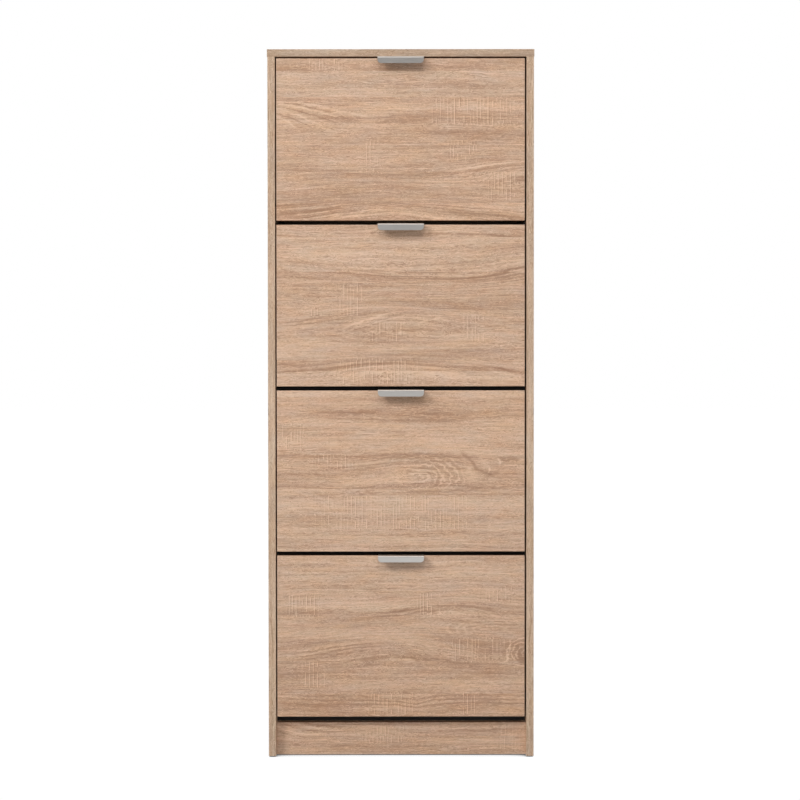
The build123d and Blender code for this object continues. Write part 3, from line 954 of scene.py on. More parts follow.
@dataclass(frozen=True)
class Plastic(Finish):
    """Moulded plastic with a fine spark texture.

    Attributes:
        dark: its colour in the hollows.
        light: its colour where it is rubbed.
        dull: its lowest roughness.
    """

    dark: Triple
    light: Triple
    dull: float

    def coat(self, graph: Graph, place: Socket, normal: Socket) -> Coat:
        """Grains the surface and rubs it lightly."""
        grain, rub = graph.effect(Speckle, Place=place, Size=0.45)
        colour = graph.mix(rub, self.dark, self.light)
        dull = graph.slope(rub, 0.14, self.dull)
        return Coat(colour, dull, grain, strength=0.3, depth=0.12)


@dataclass(frozen=True)
class Metal(Finish):
    """Bare or plated metal with hair lines.

    Attributes:
        dark: its colour in the lines.
        light: its colour between them.
        stretch: how the lines are drawn out along each axis, per millimetre.
        dull: its lowest roughness.
        bite: how strongly the lines show.
    """

    dark: Triple
    light: Triple
    stretch: Triple
    dull: float
    bite: float

    def coat(self, graph: Graph, place: Socket, normal: Socket) -> Coat:
        """Draws the lines, with a soft patchy sheen under them."""
        (lines,) = graph.effect(BrushedLines, Place=place, Stretch=self.stretch)
        _, rub = graph.effect(Speckle, Place=place, Size=2.0)
        even = graph.step(lines, 0.32, 0.68)
        dull = graph.slope(rub, 0.08, graph.slope(even, 0.10, self.dull))
        colour = graph.mix(even, self.dark, self.light)
        return Coat(colour, dull, lines, strength=self.bite, depth=0.05, metallic=1.0)


@dataclass(frozen=True)
class Beech(Finish):
    """Raw beech of the dowels, with short dark flecks."""

    def coat(self, graph: Graph, place: Socket, normal: Socket) -> Coat:
        """Flecks the wood and flutes it lightly."""
        fleck = graph.noise(place, (0.5, 2.5, 2.5), 2.0, 0.6)
        dull = graph.step(fleck, 0.3, 0.7, 0.75, 0.6)
        return Coat(graph.ramp(fleck, BEECH_TONES), dull, fleck, strength=0.3, depth=0.2)


BLACK_FOIL = BlackFoil("pressed_black_foil", Slot.BLACK_FOIL)
HARDBOARD = Hardboard("pressed_hardboard", Slot.HARDBOARD)
BEECH = Beech("raw_beech", Slot.BEECH)
BLACK_PLASTIC = Plastic(
    "moulded_black_plastic",
    Slot.BLACK_PLASTIC,
    dark=(0.018, 0.018, 0.019),
    light=(0.030, 0.030, 0.031),
    dull=0.36,
)
WHITE_PLASTIC = Plastic(
    "moulded_white_plastic",
    Slot.WHITE_PLASTIC,
    dark=(0.72, 0.71, 0.68),
    light=(0.78, 0.77, 0.74),
    dull=0.40,
)
SATIN_ALUMINIUM = Metal(
    "brushed_aluminium",
    Slot.SATIN_ALUMINIUM,
    dark=(0.522, 0.505, 0.482),
    light=(0.588, 0.570, 0.552),
    stretch=(0.03, 4.0, 4.0),
    dull=0.34,
    bite=0.25,
)
ZINC_STEEL = Metal(
    "plated_steel",
    Slot.ZINC_STEEL,
    dark=(0.54, 0.545, 0.55),
    light=(0.68, 0.68, 0.67),
    stretch=(0.9, 0.9, 0.9),
    dull=0.24,
    bite=0.15,
)
ZINC_ALLOY = Metal(
    "cast_zinc",
    Slot.ZINC_ALLOY,
    dark=(0.34, 0.34, 0.335),
    light=(0.47, 0.47, 0.46),
    stretch=(1.6, 1.6, 1.6),
    dull=0.38,
    bite=0.5,
)


# ---------------------------------------------------------------- figures of the boards
# Each row holds the fields of its class in order: a stave's start, tone and warmth, or a feature's middle
# along and across the grain, its reach both ways and what is its own. Lengths are in millimetres.

# The doors' stave tones also hold painted light: the lower doors' staves are painted lighter to even out
# light that falls off downwards, and the lowest door's bottom staves are darker, partly the print's own tone
# and partly painted shade towards the floor.
DOOR_FIGURES = (
    Figure(
        seed=0,
        staves=rows(
            Stave,
            (0, 0.93), (27, 1.05, -0.025), (83, 0.98, 0.008), (140, 0.99, 0.002), (188, 0.98),
            (245, 0.945), (312, 0.98, 0.018),
        ),
        spots=rows(
            Spot,
            (380, 134, 190, 12, 6, 0.2), (545, 238, 130, 30, 26, 0.35), (240, 330, 190, 34, 24, 0.15),
            (80, 334, 120, 22, 0, 0.6), (250, 275, 160, 16, 8, 0.2),
        ),
        veins=rows(
            Vein,
            (60, 20, 80, 5, 0.08), (440, 18, 110, 5, 0.1), (440, 62, 100, 10, 0.07),
            (50, 101, 50, 1.8, -0.2, 5, 2), (60, 107, 62, 1.7, 0.2, 9, 3),
            (75, 113, 78, 1.8, -0.2, 12, 5), (70, 121, 72, 1.7, 0.2, 15, 5),
            (52, 126, 52, 1.8, -0.18, 20, 5), (42, 133, 44, 1.7, 0.2, 24, 5),
            (26, 137, 26, 1.7, -0.16, 32, 4), (135, 130, 42, 4.5, 0.2, 8),
            (160, 121, 50, 1.7, -0.14, 10), (210, 140, 110, 2, 0.14), (400, 134, 150, 9, 0.08),
            (430, 128, 120, 1.7, 0.12), (278, 113, 45, 1.7, -0.18), (460, 245, 52, 1.7, -0.22),
            (440, 252, 70, 3, 0.13), (40, 239, 45, 4, 0.1), (300, 334, 240, 1.8, 0.2),
            (330, 341, 220, 1.7, 0.18), (70, 340, 60, 2, 0.2), (110, 350, 80, 1.8, 0.2),
            (450, 346, 90, 2, 0.22), (250, 357, 220, 3, -0.12),
        ),
        saws=rows(
            Saw,
            (429.5, 115, 94.5, 29), (405, 201, 39, 23, 0.8), (207, 210, 17, 36, 0.8),
            (490, 277, 34, 31, 0.9), (110, 13.5, 44, 12.5, 0.9),
        ),
    ),
    Figure(
        seed=2310,
        staves=rows(
            Stave,
            (0, 1.01), (26, 1.08, -0.01), (101, 0.97, 0.007), (125, 0.99, -0.005), (198, 1.02, -0.007),
            (294, 0.98, 0.011), (316, 1.07, -0.005),
        ),
        spots=rows(
            Spot,
            (300, 110, 200, 34, -15, 0.25), (545, 95, 60, 30, 9, 0.25), (260, 200, 130, 34, 12, 0.2),
            (270, 310, 200, 30, 20, 0.25),
        ),
        veins=rows(
            Vein,
            (440, 24, 110, 3, 0.12), (505, 26, 32, 1.8, 0.26), (150, 98, 190, 1.8, 0.24),
            (340, 102, 180, 1.8, 0.24), (260, 107, 240, 6, 0.08), (490, 100, 90, 1.8, 0.26),
            (60, 112, 80, 2, 0.14), (470, 109, 90, 1.8, 0.15), (360, 180, 75, 14, 0.07),
            (60, 208, 66, 2, 0.18, -5), (70, 216, 74, 1.8, 0.14, -5), (205, 215, 62, 1.8, -0.22, -13),
            (215, 221, 56, 1.6, 0.16, -13), (190, 228, 70, 1.8, -0.18, -12),
            (175, 233, 70, 2, 0.14, -11), (338, 214, 46, 1.8, -0.16, -13, 3), (250, 322, 260, 4, 0.1),
            (200, 319, 90, 2, 0.15), (250, 314, 150, 9, 0.05), (508, 322, 34, 4, 0.24, 10),
            (470, 317, 40, 2, 0.18, 6), (490, 328, 40, 1.8, -0.16, 8), (60, 325, 60, 2, 0.18),
            (300, 338, 260, 4, -0.09),
        ),
        saws=rows(
            Saw,
            (158, 163, 32, 35, 0.9), (85, 188, 19, 12, 0.8), (238, 233, 44, 21, 0.9),
            (426.5, 226, 27.5, 28, 0.9), (217, 318, 97, 28, 0.95),
        ),
    ),
    Figure(
        seed=5120,
        staves=rows(
            Stave,
            # Painted light: lighter than the upper doors' staves, to even out light that falls off downwards.
            (0, 1.122), (13, 1.022, 0.015), (70, 1.102, 0.006), (139, 1.012, 0.008), (213, 1.012),
            (228, 1.132, -0.012), (301, 1.102, -0.008),
        ),
        spots=rows(Spot, (330, 168, 120, 34, 12, 0.2), (120, 175, 150, 24, -10, 0.2)),
        arches=rows(Arch, (316, 190, 80, 48, 5.2, 0.36)),
        veins=rows(
            Vein,
            (155, 50, 60, 2, 0.2), (340, 50, 34, 2, 0.16), (250, 64, 160, 2.2, 0.15),
            (420, 60, 110, 2, 0.1), (130, 100, 64, 6, 0.08), (28, 139, 40, 2.2, 0.2),
            (190, 143, 190, 1.8, 0.14), (330, 150, 130, 1.8, 0.18), (250, 163, 160, 1.8, 0.12),
            (372, 149, 30, 2, 0.16, 10), (423, 158, 25, 4.5, 0.16, 52, 4),
            (450, 180, 24, 5, 0.15, 18, 3), (456, 194, 18, 5, 0.08, -40), (424, 184, 18, 11, -0.12, 60),
            (463, 176, 9, 1.8, -0.26, 100, 3), (485, 155, 8, 2.4, -0.34, 70, 2),
            (452, 160, 16, 9, -0.13, 52), (506, 151, 22, 6, 0.18), (520, 166, 26, 2, -0.16, 4),
            (490, 185, 50, 2.5, 0.12), (480, 214, 60, 1.8, 0.18), (270, 212, 170, 2, 0.16),
            (210, 223, 150, 2.4, 0.14), (360, 220, 80, 2, 0.14), (50, 294, 70, 2.2, 0.18),
            (330, 306, 110, 8, 0.06),
        ),
        saws=rows(Saw, (34, 99, 32, 29), (123, 154, 47, 16, 0.8), (253, 266.5, 177, 37.5, 0.9)),
    ),
    Figure(
        seed=8440,
        staves=rows(
            Stave,
            # Painted light above and shade below: the upper staves are painted lighter to even out the light,
            # the lower ones darker, partly the print and partly painted shade towards the floor.
            (0, 1.092, -0.008), (22, 1.102, -0.012), (75, 1.112, -0.004), (128, 1.042),
            (181, 0.992, 0.002), (229, 0.932, 0.006), (301, 0.942, 0.024),
        ),
        spots=rows(
            Spot,
            (380, 112, 120, 30, 17, 0.25), (260, 200, 170, 40, 26, 0.2), (300, 324, 26, 14, -7, 0.2),
        ),
        arches=rows(Arch, (446, 160, -80, 26, 4.2, 0.2), (544, 214, -46, 36, 4.2, 0.42)),
        veins=rows(
            Vein,
            (100, 121, 95, 8, 0.11), (60, 125, 60, 3, 0.14), (340, 127, 150, 1.9, 0.24),
            (430, 131, 130, 1.9, 0.2), (300, 135, 90, 1.9, 0.2), (275, 127, 36, 6, 0.1),
            (110, 214, 110, 1.9, 0.2), (150, 221, 140, 1.8, 0.16), (100, 228, 90, 1.8, 0.16),
            (310, 240, 190, 2, 0.16), (450, 206, 120, 16, 0.08), (490, 216, 60, 12, 0.1),
            (534, 226, 9, 13, 0.24), (507, 210, 20, 2.2, -0.26, 100, 3), (498, 232, 16, 1.8, -0.18, -20),
            (270, 306, 320, 2, 0.2), (200, 314, 260, 2, 0.22), (330, 323, 280, 2, 0.18),
            (120, 327, 120, 2.5, 0.14),
        ),
        saws=rows(
            Saw,
            (57, 110, 41, 24), (333, 107, 29, 25), (481.5, 83, 40.5, 17, 0.9), (433, 206, 67, 28, 0.9),
            (78, 260, 30, 28, 0.9), (248, 322, 58, 24, 0.8), (417.5, 322, 18.5, 24, 0.8),
        ),
    ),
)
PLINTH_FIGURE = Figure(
    seed=11730,
    # Painted light and shade: the top stave is darker as painted shade under the doors, and the staves below
    # it are lighter to even out the shade near the floor.
    staves=rows(Stave, (0, 0.98), (30, 1.01, 0.005), (75, 1.02)),
    spots=rows(Spot, (95, 18, 60, 7, 0, 0.4), (270, 8, 280, 3, 2, 0.5), (420, 52, 160, 8, 5, 0.2)),
    veins=rows(
        Vein,
        (42, 30, 46, 1.9, 0.18, 12, -7), (48, 23, 50, 2, -0.18, 12, -6), (72, 18, 56, 1.9, 0.18, 10, -6),
        (86, 13, 56, 1.8, -0.14, 9, -5), (110, 10, 60, 1.8, 0.18, 7, -4), (200, 7, 80, 1.9, 0.18),
        (285, 18, 20, 4, 0.1), (420, 19, 130, 2.2, 0.14, -1.5), (420, 13, 130, 2, -0.1),
        (300, 52, 260, 2, 0.08),
    ),
    saws=rows(Saw, (235, 27, 57, 19, 0.7), (510, 32.5, 32, 27.5, 0.4)),
)
TOP_FIGURE = Figure(
    seed=14200,
    staves=rows(Stave, (0, 0.87, -0.05), (17,), (72, 1.03, -0.01), (131, 0.97, 0.01)),
    spots=rows(
        Spot,
        (150, 60, 180, 16, -16, 0.4), (420, 110, 160, 22, 24, 0.5), (250, 160, 240, 8, 4, 0.4),
        (390, 8, 90, 4, 0, 0.5),
    ),
    saws=rows(Saw, (85, 102, 45, 26, 0.8), (360, 44, 60, 24, 0.7)),
)
SIDE_FIGURE = Figure(
    seed=17650,
    staves=rows(
        Stave,
        (0, 0.97, -0.045), (17, 1.02, -0.01), (66, 0.97, 0.01), (118, 1.03), (160, 0.97, 0.01),
    ),
    spots=rows(
        Spot,
        (260, 95, 210, 22, -26, 0.5), (300, 95, 120, 8, -20, 0.3), (700, 44, 240, 16, 18, 0.4),
        (980, 140, 200, 18, -20, 0.5), (1230, 80, 190, 26, 36, 0.5), (1300, 92, 60, 16, 34, 0.4),
        (520, 150, 260, 8, 5, 0.5),
    ),
    saws=rows(
        Saw,
        (140, 42, 50, 22, 0.8), (490, 92, 70, 24, 0.8), (890, 43, 70, 21, 0.7), (1130, 139, 50, 19, 0.8),
        (1430, 92, 50, 24, 0.7),
    ),
)


# ---------------------------------------------------------------- meshes


@dataclass
class Workpiece:
    """A mesh that is shaped in millimetres and then put in the scene.

    Attributes:
        name: the piece's name in the scene.
        mesh: the mesh in work.
        crease: edges sharper than this many degrees stay sharp in shading.
    """

    name: str
    mesh: bmesh.types.BMesh = field(default_factory=bmesh.new)
    crease: float = 35.0

    def stamp(self, pattern: bpy.types.Mesh, place: Matrix) -> None:
        """Adds a copy of a finished pattern.

        Args:
            pattern: the mesh to copy.
            place: where the copy goes.
        """
        start = len(self.mesh.verts)
        self.mesh.from_mesh(pattern)
        self.mesh.verts.ensure_lookup_table()
        bmesh.ops.transform(self.mesh, matrix=place, verts=self.mesh.verts[start:])

    def draw_out(self, edges: list[bmesh.types.BMEdge]) -> list[bmesh.types.BMVert]:
        """Draws faces out of some edges, and returns the new vertices for moving."""
        grown = bmesh.ops.extrude_edge_only(self.mesh, edges=edges)["geom"]
        return [item for item in grown if isinstance(item, bmesh.types.BMVert)]

    def rim(self) -> list[bmesh.types.BMEdge]:
        """Edges with one face."""
        return [edge for edge in self.mesh.edges if edge.is_boundary]

    def round(
        self,
        parts: list[bmesh.types.BMVert] | list[bmesh.types.BMEdge],
        radius: float,
        segments: int,
        affect: str = "EDGES",
        clamp: bool = False,
    ) -> None:
        """Rounds some edges or corners.

        Args:
            parts: the edges or vertices.
            radius: how far back the rounding starts.
            segments: how many faces it has.
            affect: EDGES or VERTICES.
            clamp: stop the rounding where it would meet another.
        """
        bmesh.ops.bevel(
            self.mesh,
            geom=parts,
            offset=radius,
            offset_type="OFFSET",
            segments=segments,
            profile=0.5,
            affect=affect,
            material=-1,
            clamp_overlap=clamp,
        )

    def soften(self, radius: float, angle: float = 40.0) -> None:
        """Rounds every edge that is sharper than an angle in degrees."""
        limit = math.radians(angle)
        sharp = [edge for edge in self.mesh.edges if edge.is_manifold and edge.calc_face_angle(0.0) > limit]
        self.round(sharp, radius, 2, clamp=True)

    def end(self) -> bpy.types.Mesh:
        """Ends the work.

        Returns:
            The finished mesh.
        """
        made = bpy.data.meshes.new(self.name)
        self.mesh.to_mesh(made)
        self.mesh.free()
        return made

    def place(self, body: str, finish: Finish, node: str) -> None:
        """Puts the piece in the scene.

        Args:
            body: the CAD body that it rides on.
            finish: its finish.
            node: the CAD node that it stands for.
        """
        bmesh.ops.scale(self.mesh, vec=(METRE,) * 3, verts=self.mesh.verts)
        made = self.end()
        made.shade_smooth()
        made.set_sharp_from_angle(angle=math.radians(self.crease))
        made.materials.append(finish.material())
        piece = bpy.data.objects.new(self.name, made)
        bpy.context.scene.collection.objects.link(piece)
        even = piece.modifiers.new("even_normals", "WEIGHTED_NORMAL")
        even.keep_sharp = True
        even.weight = 100
        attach(piece, body)
        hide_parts(node)
        log.info("%s: %d faces on %s", self.name, len(made.polygons), body)


@dataclass
class Frame:
    """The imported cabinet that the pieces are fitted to.

    Attributes:
        nodes: the CAD nodes by name.
        weld: how close two vertices are joined when a node is copied.
        flat: degrees up to which its faces are made into one.
    """

    nodes: dict[str, bpy.types.Object]
    weld: float = 0.002
    flat: float = 0.5

    def box(self, node: str) -> tuple[Vector, Vector]:
        """A node's lowest and highest corners, in millimetres."""
        low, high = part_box(node)
        return Vector(low) / METRE, Vector(high) / METRE

    def lay(
        self,
        node: str,
        along: Triple,
        across: Triple,
        band: Triple = (0.0, 0.0, 0.0),
        raw: tuple[Triple, ...] = (),
    ) -> Lay:
        """Lays a print on a board, from the corner that it runs away from.

        Args:
            node: the board.
            along: direction along the grain.
            across: directions across the grain, added together.
            band: direction along the band on its left and right ends, or zero without a band.
            raw: directions of its bare edges.

        Returns:
            How the print lies.
        """
        low, high = self.box(node)
        ways = [first + second for first, second in zip(along, across)]
        corner = tuple(high[axis] if way < 0 else low[axis] for axis, way in enumerate(ways))
        extent = sum(abs(part) * size for part, size in zip(across, high - low))
        return Lay(corner, extent, along, across, band, raw)

    def finish(self, node: str, finish: Finish) -> None:
        """Gives a CAD node a finish.

        Args:
            node: the node's name.
            finish: its new finish.
        """
        slots = self.nodes[node].data.materials
        slots.clear()
        slots.append(finish.material())
        log.info("%s: finished in %s", node, finish.name)

    def copy(self, node: str, ending: str) -> Workpiece:
        """Copies a CAD node's mesh, with its flat faces made whole again.

        Args:
            node: the node's name.
            ending: what the piece's name adds to it.

        Returns:
            The copy, ready to be worked on.
        """
        work = Workpiece(f"{node}_{ending}")
        mesh = work.mesh
        mesh.from_mesh(self.nodes[node].data)
        bmesh.ops.scale(mesh, vec=(1.0 / METRE,) * 3, verts=mesh.verts)
        bmesh.ops.remove_doubles(mesh, verts=mesh.verts, dist=self.weld)
        angle = math.radians(self.flat)
        bmesh.ops.dissolve_limit(mesh, angle_limit=angle, verts=mesh.verts, edges=mesh.edges)
        return work

    def soften(self, node: str, body: str, finish: Finish, radius: float) -> None:
        """Replaces a CAD node by a copy with softened edges.

        Args:
            node: the node's name.
            body: the CAD body that it rides on.
            finish: its finish.
            radius: the rounding of its edges.
        """
        work = self.copy(node, "moulded" if finish.slot is Slot.BLACK_PLASTIC else "eased")
        work.soften(radius)
        work.place(body, finish, node)


def stand(place: Iterable[float], axis: str, angle: float, turn: float) -> Matrix:
    """Where a screw stands.

    Args:
        place: the middle of its head's face.
        axis: the axis that the screw is laid over about.
        angle: how far it is laid over, from looking along +Z.
        turn: how far its recess is turned.

    Returns:
        The matrix that puts a screw there.
    """
    laid = Matrix.Translation(tuple(place)) @ Matrix.Rotation(angle, 4, axis)
    return laid @ Matrix.Rotation(turn, 4, "Z")


@dataclass
class Screw:
    """Countersunk screw with a cross recess, its head's face at the origin looking along +Z.

    Attributes:
        head: the head's radius.
        height: the head's height.
        shank: the shank's radius.
        length: from the head's face to the tip.
        slot: width of the recess.
        recess: its depth.
        taper: the recess's width at its bottom, as a share of its width at the face.
        edge: the worn ring on the head's edge, by its width and depth.
        point: the point's length and its tip's radius.
        segments: how many sides the head has.
    """

    head: float = 3.4
    height: float = 2.2
    shank: float = 1.75
    length: float = 13.0
    slot: float = 0.8
    recess: float = 1.0
    taper: float = 0.8
    edge: tuple[float, float] = (0.25, 0.15)
    point: tuple[float, float] = (3.0, 0.2)
    segments: int = 24

    @cached_property
    def pattern(self) -> bpy.types.Mesh:
        """Shapes one screw, the first time that it is asked for.

        Returns:
            The screw's mesh in millimetres.
        """
        work = Workpiece("screw_pattern")
        mesh = work.mesh
        self.cross(work)
        rim = [edge for edge in work.rim() if all(abs(vert.co.z) < self.edge[1] for vert in edge.verts)]
        face = self.head - self.edge[0]
        ring = bmesh.ops.create_circle(mesh, segments=self.segments, radius=face)["verts"]
        outer = list(dict.fromkeys(edge for vert in ring for edge in vert.link_edges))
        bmesh.ops.bridge_loops(mesh, edges=rim + outer)
        for radius, depth in (
            (self.head, self.edge[1]),
            (self.shank, self.height),
            (self.shank, self.length - self.point[0]),
            (self.point[1], self.length),
        ):
            for vert in work.draw_out(work.rim()):
                out = Vector((vert.co.x, vert.co.y, 0.0)).normalized() * radius
                vert.co = (out.x, out.y, -depth)
        bmesh.ops.holes_fill(mesh, edges=work.rim(), sides=0)
        bmesh.ops.recalc_face_normals(mesh, faces=mesh.faces)
        return work.end()

    def cross(self, work: Workpiece) -> None:
        """Sinks the cross recess into a square in the middle of the head's face.

        Args:
            work: the screw in work, still empty.
        """
        mesh = work.mesh
        bmesh.ops.create_grid(mesh, x_segments=3, y_segments=3, size=self.head / 2)
        for vert in mesh.verts:
            for axis in (0, 1):
                if abs(vert.co[axis]) < self.head / 3:
                    vert.co[axis] = math.copysign(self.slot / 2, vert.co[axis])
        close = self.slot / 8
        arms = [face for face in mesh.faces if min(abs(n) for n in face.calc_center_median()[:2]) < close]
        sunk = bmesh.ops.extrude_face_region(mesh, geom=arms)["geom"]
        bottom = [item for item in sunk if isinstance(item, bmesh.types.BMVert)]
        bmesh.ops.translate(mesh, vec=(0.0, 0.0, -self.recess), verts=bottom)
        bmesh.ops.scale(mesh, vec=(self.taper, self.taper, 1.0), verts=bottom)
        bmesh.ops.delete(mesh, geom=arms, context="FACES_ONLY")

    def drive(self, node: str, body: str, stands: Iterable[Matrix]) -> None:
        """Drives the screws of one CAD node.

        Args:
            node: the CAD node that they stand for.
            body: the CAD body that they ride on.
            stands: where each of them stands.
        """
        work = Workpiece(f"{node}_crossed")
        for place in stands:
            work.stamp(self.pattern, place)
        work.place(body, ZINC_STEEL, node)


SCREW = Screw()


@dataclass
class Handle:
    """Lip handle bent from sheet aluminium over a door's top edge.

    Attributes:
        width: along the door.
        height: from the flange's top to the lip's bottom.
        sheet: thickness of the sheet.
        bend: outer radius of the bend at the front.
        inner: inner radius of the bend at the back.
        corner: rounded lower corners of the lip.
        leg: how far it reaches down the door's back.
        lean: degrees that the lip leans towards the door.
        spacing: between its two screws.
        drop: from the door's top edge to the screws.
        rim: rounding of the sheet's cut edges, and how sharp in degrees an edge is to get it.
        segments: faces in a rounded corner and in a bend.
    """

    width: float = 100.0
    height: float = 15.0
    sheet: float = 2.0
    bend: float = 3.5
    inner: float = 0.6
    corner: float = 8.0
    leg: float = 14.0
    lean: float = 10.0
    spacing: float = 64.0
    drop: float = 8.0
    rim: tuple[float, float] = (0.3, 60.0)
    segments: tuple[int, int] = (6, 8)

    def build(self, node: str, body: str, low: Vector, high: Vector) -> None:
        """Bends the sheet and softens its rims.

        Args:
            node: the CAD handle's name.
            body: the CAD body that it rides on.
            low: the CAD handle's lowest corner.
            high: its highest corner.
        """
        work = Workpiece(f"{node}_bent")
        mesh = work.mesh
        lean = math.radians(self.lean)
        shift = self.bend * ((1 + math.sin(lean)) / math.cos(lean) - 1)
        drop = self.height - self.sheet * math.sin(lean) / 2
        front = low.y - shift
        outline = (
            (high.y, high.z - self.leg - self.sheet),
            (high.y, high.z),
            (front, high.z),
            (front + drop * math.tan(lean), high.z - drop),
        )
        verts = [mesh.verts.new((-self.width / 2, y, z)) for y, z in outline]
        far = work.draw_out([mesh.edges.new(pair) for pair in zip(verts, verts[1:])])
        bmesh.ops.translate(mesh, vec=(self.width, 0.0, 0.0), verts=far)
        middle = (low.y + high.y) / 2
        lip = [vert for vert in mesh.verts if vert.co.z < high.z - self.sheet and vert.co.y < middle]
        corner, bend = self.segments
        work.round(lip, self.corner, corner, "VERTICES")
        half = math.tan(math.radians(45.0 + self.lean / 2))
        work.round(self.fold(mesh, front, high.z), self.bend * half, bend)
        work.round(self.fold(mesh, high.y, high.z), self.sheet + self.inner, bend)
        bmesh.ops.recalc_face_normals(mesh, faces=mesh.faces)
        if sum(face.normal.z * face.calc_area() for face in mesh.faces) < 0:
            bmesh.ops.reverse_faces(mesh, faces=mesh.faces)
        bmesh.ops.solidify(mesh, geom=mesh.faces, thickness=self.sheet)
        bmesh.ops.recalc_face_normals(mesh, faces=mesh.faces)
        work.soften(*self.rim)
        work.place(body, SATIN_ALUMINIUM, node)

    def fold(self, mesh: bmesh.types.BMesh, depth: float, level: float) -> list[bmesh.types.BMEdge]:
        """Finds the long edge that the sheet is folded over.

        Args:
            mesh: the sheet.
            depth: the edge's place from front to back.
            level: its height.

        Returns:
            The edge, in a list.
        """
        close = self.sheet / 20
        return [
            edge
            for edge in mesh.edges
            if abs(edge.verts[0].co.x - edge.verts[1].co.x) > self.width / 2
            and all(math.hypot(vert.co.y - depth, vert.co.z - level) < close for vert in edge.verts)
        ]


# ---------------------------------------------------------------- sub-assemblies


@dataclass
class Carcase:
    """Side panels, top, plinth, rails, back and the fittings that stay with them.

    Attributes:
        frame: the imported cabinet.
        doors: how many flaps the cabinet has.
        plate_screws: screws from each pivot axis, along the plate.
        plate_angle: the plates' direction in degrees above the horizontal.
        pivot_up: pivot axes above the doors' bottom edges.
        pivot_back: pivot axes behind the doors' front faces.
        side_cast: the cast of the side panels' foil.
        top_cast: the cast of the top panel's foil.
    """

    frame: Frame
    doors: int = len(DOOR_FIGURES)
    plate_screws: tuple[float, float] = (21.0, 40.0)
    plate_angle: float = 40.0
    pivot_up: float = 44.0
    pivot_back: float = 22.0
    side_cast: Triple = (1.01, 1.045, 1.02)
    top_cast: Triple = (0.89, 0.925, 0.92)

    def build(self) -> None:
        """Finishes the boards and builds the fittings."""
        self.boards()
        self.back()
        self.fittings()
        self.screws()

    def boards(self) -> None:
        """Lays oak foil on the sides, top and plinth, and black foil on the rails."""
        for node, sideways in (("left_side_panel", 1.0), ("right_side_panel", -1.0)):
            lay = self.frame.lay(node, DOWN, (sideways, 1.0, 0.0), raw=(BACK, DOWN))
            self.frame.finish(node, OakFoil(f"oak_{node}", Slot.OAK_FOIL, SIDE_FIGURE, lay, self.side_cast))
        lay = self.frame.lay("top_panel", RIGHT, BACK_AND_DOWN, band=BACK, raw=(BACK,))
        top = OakFoil("oak_top_panel", Slot.OAK_FOIL, TOP_FIGURE, lay, self.top_cast)
        self.frame.finish("top_panel", top)
        lay = self.frame.lay("plinth", RIGHT, BACK_AND_DOWN, raw=(BACK, DOWN))
        self.frame.finish("plinth", OakFoil("oak_plinth", Slot.OAK_FOIL, PLINTH_FIGURE, lay))
        for node in ("bottom_panel", "cross_rail_1", "cross_rail_2", "cross_rail_3"):
            self.frame.finish(node, BLACK_FOIL)

    def back(self) -> None:
        """Finishes the hardboard back with its joint strip and nails."""
        for node in ("back_panel_lower", "back_panel_upper"):
            self.frame.finish(node, HARDBOARD)
        self.frame.soften("back_joint_strip", "carcase", WHITE_PLASTIC, 0.25)
        self.frame.soften("back_panel_nails", "carcase", ZINC_STEEL, 0.25)

    def fittings(self) -> None:
        """Eases the edges of the moulded and bent fittings."""
        for node, finish, radius in (
            ("pivot_plates_left", BLACK_PLASTIC, 0.35),
            ("pivot_plates_right", BLACK_PLASTIC, 0.35),
            ("floor_glides", WHITE_PLASTIC, 0.2),
            ("wall_brackets", ZINC_STEEL, 0.25),
            ("cam_locks", ZINC_ALLOY, 0.2),
        ):
            self.frame.soften(node, "carcase", finish, radius)
        self.frame.finish("cam_bolts", ZINC_STEEL)
        self.frame.finish("dowels", BEECH)

    def screws(self) -> None:
        """Drives the screws of the pivot plates and of the wall brackets."""
        low, _ = self.frame.box("pivot_plate_screws")
        face = low.x + SCREW.length
        turn = math.radians(self.plate_angle)
        stands = []
        for number in range(1, self.doors + 1):
            door, _ = self.frame.box(f"flap_{number}_door")
            for side in (-1, 1):
                for distance in self.plate_screws:
                    y = door.y + self.pivot_back + distance * math.cos(turn)
                    z = door.z + self.pivot_up + distance * math.sin(turn)
                    place = (-side * face, y, z)
                    stands.append(stand(place, "Y", side * math.pi / 2, 0.3 * number + distance))
        SCREW.drive("pivot_plate_screws", "carcase", stands)
        low, high = self.frame.box("wall_bracket_screws")
        columns = (low.x + SCREW.head, high.x - SCREW.head)
        depth = (low.y + high.y) / 2
        stands = [stand((x, depth, low.z), "X", math.pi, 0.4) for x in columns]
        SCREW.drive("wall_bracket_screws", "carcase", stands)


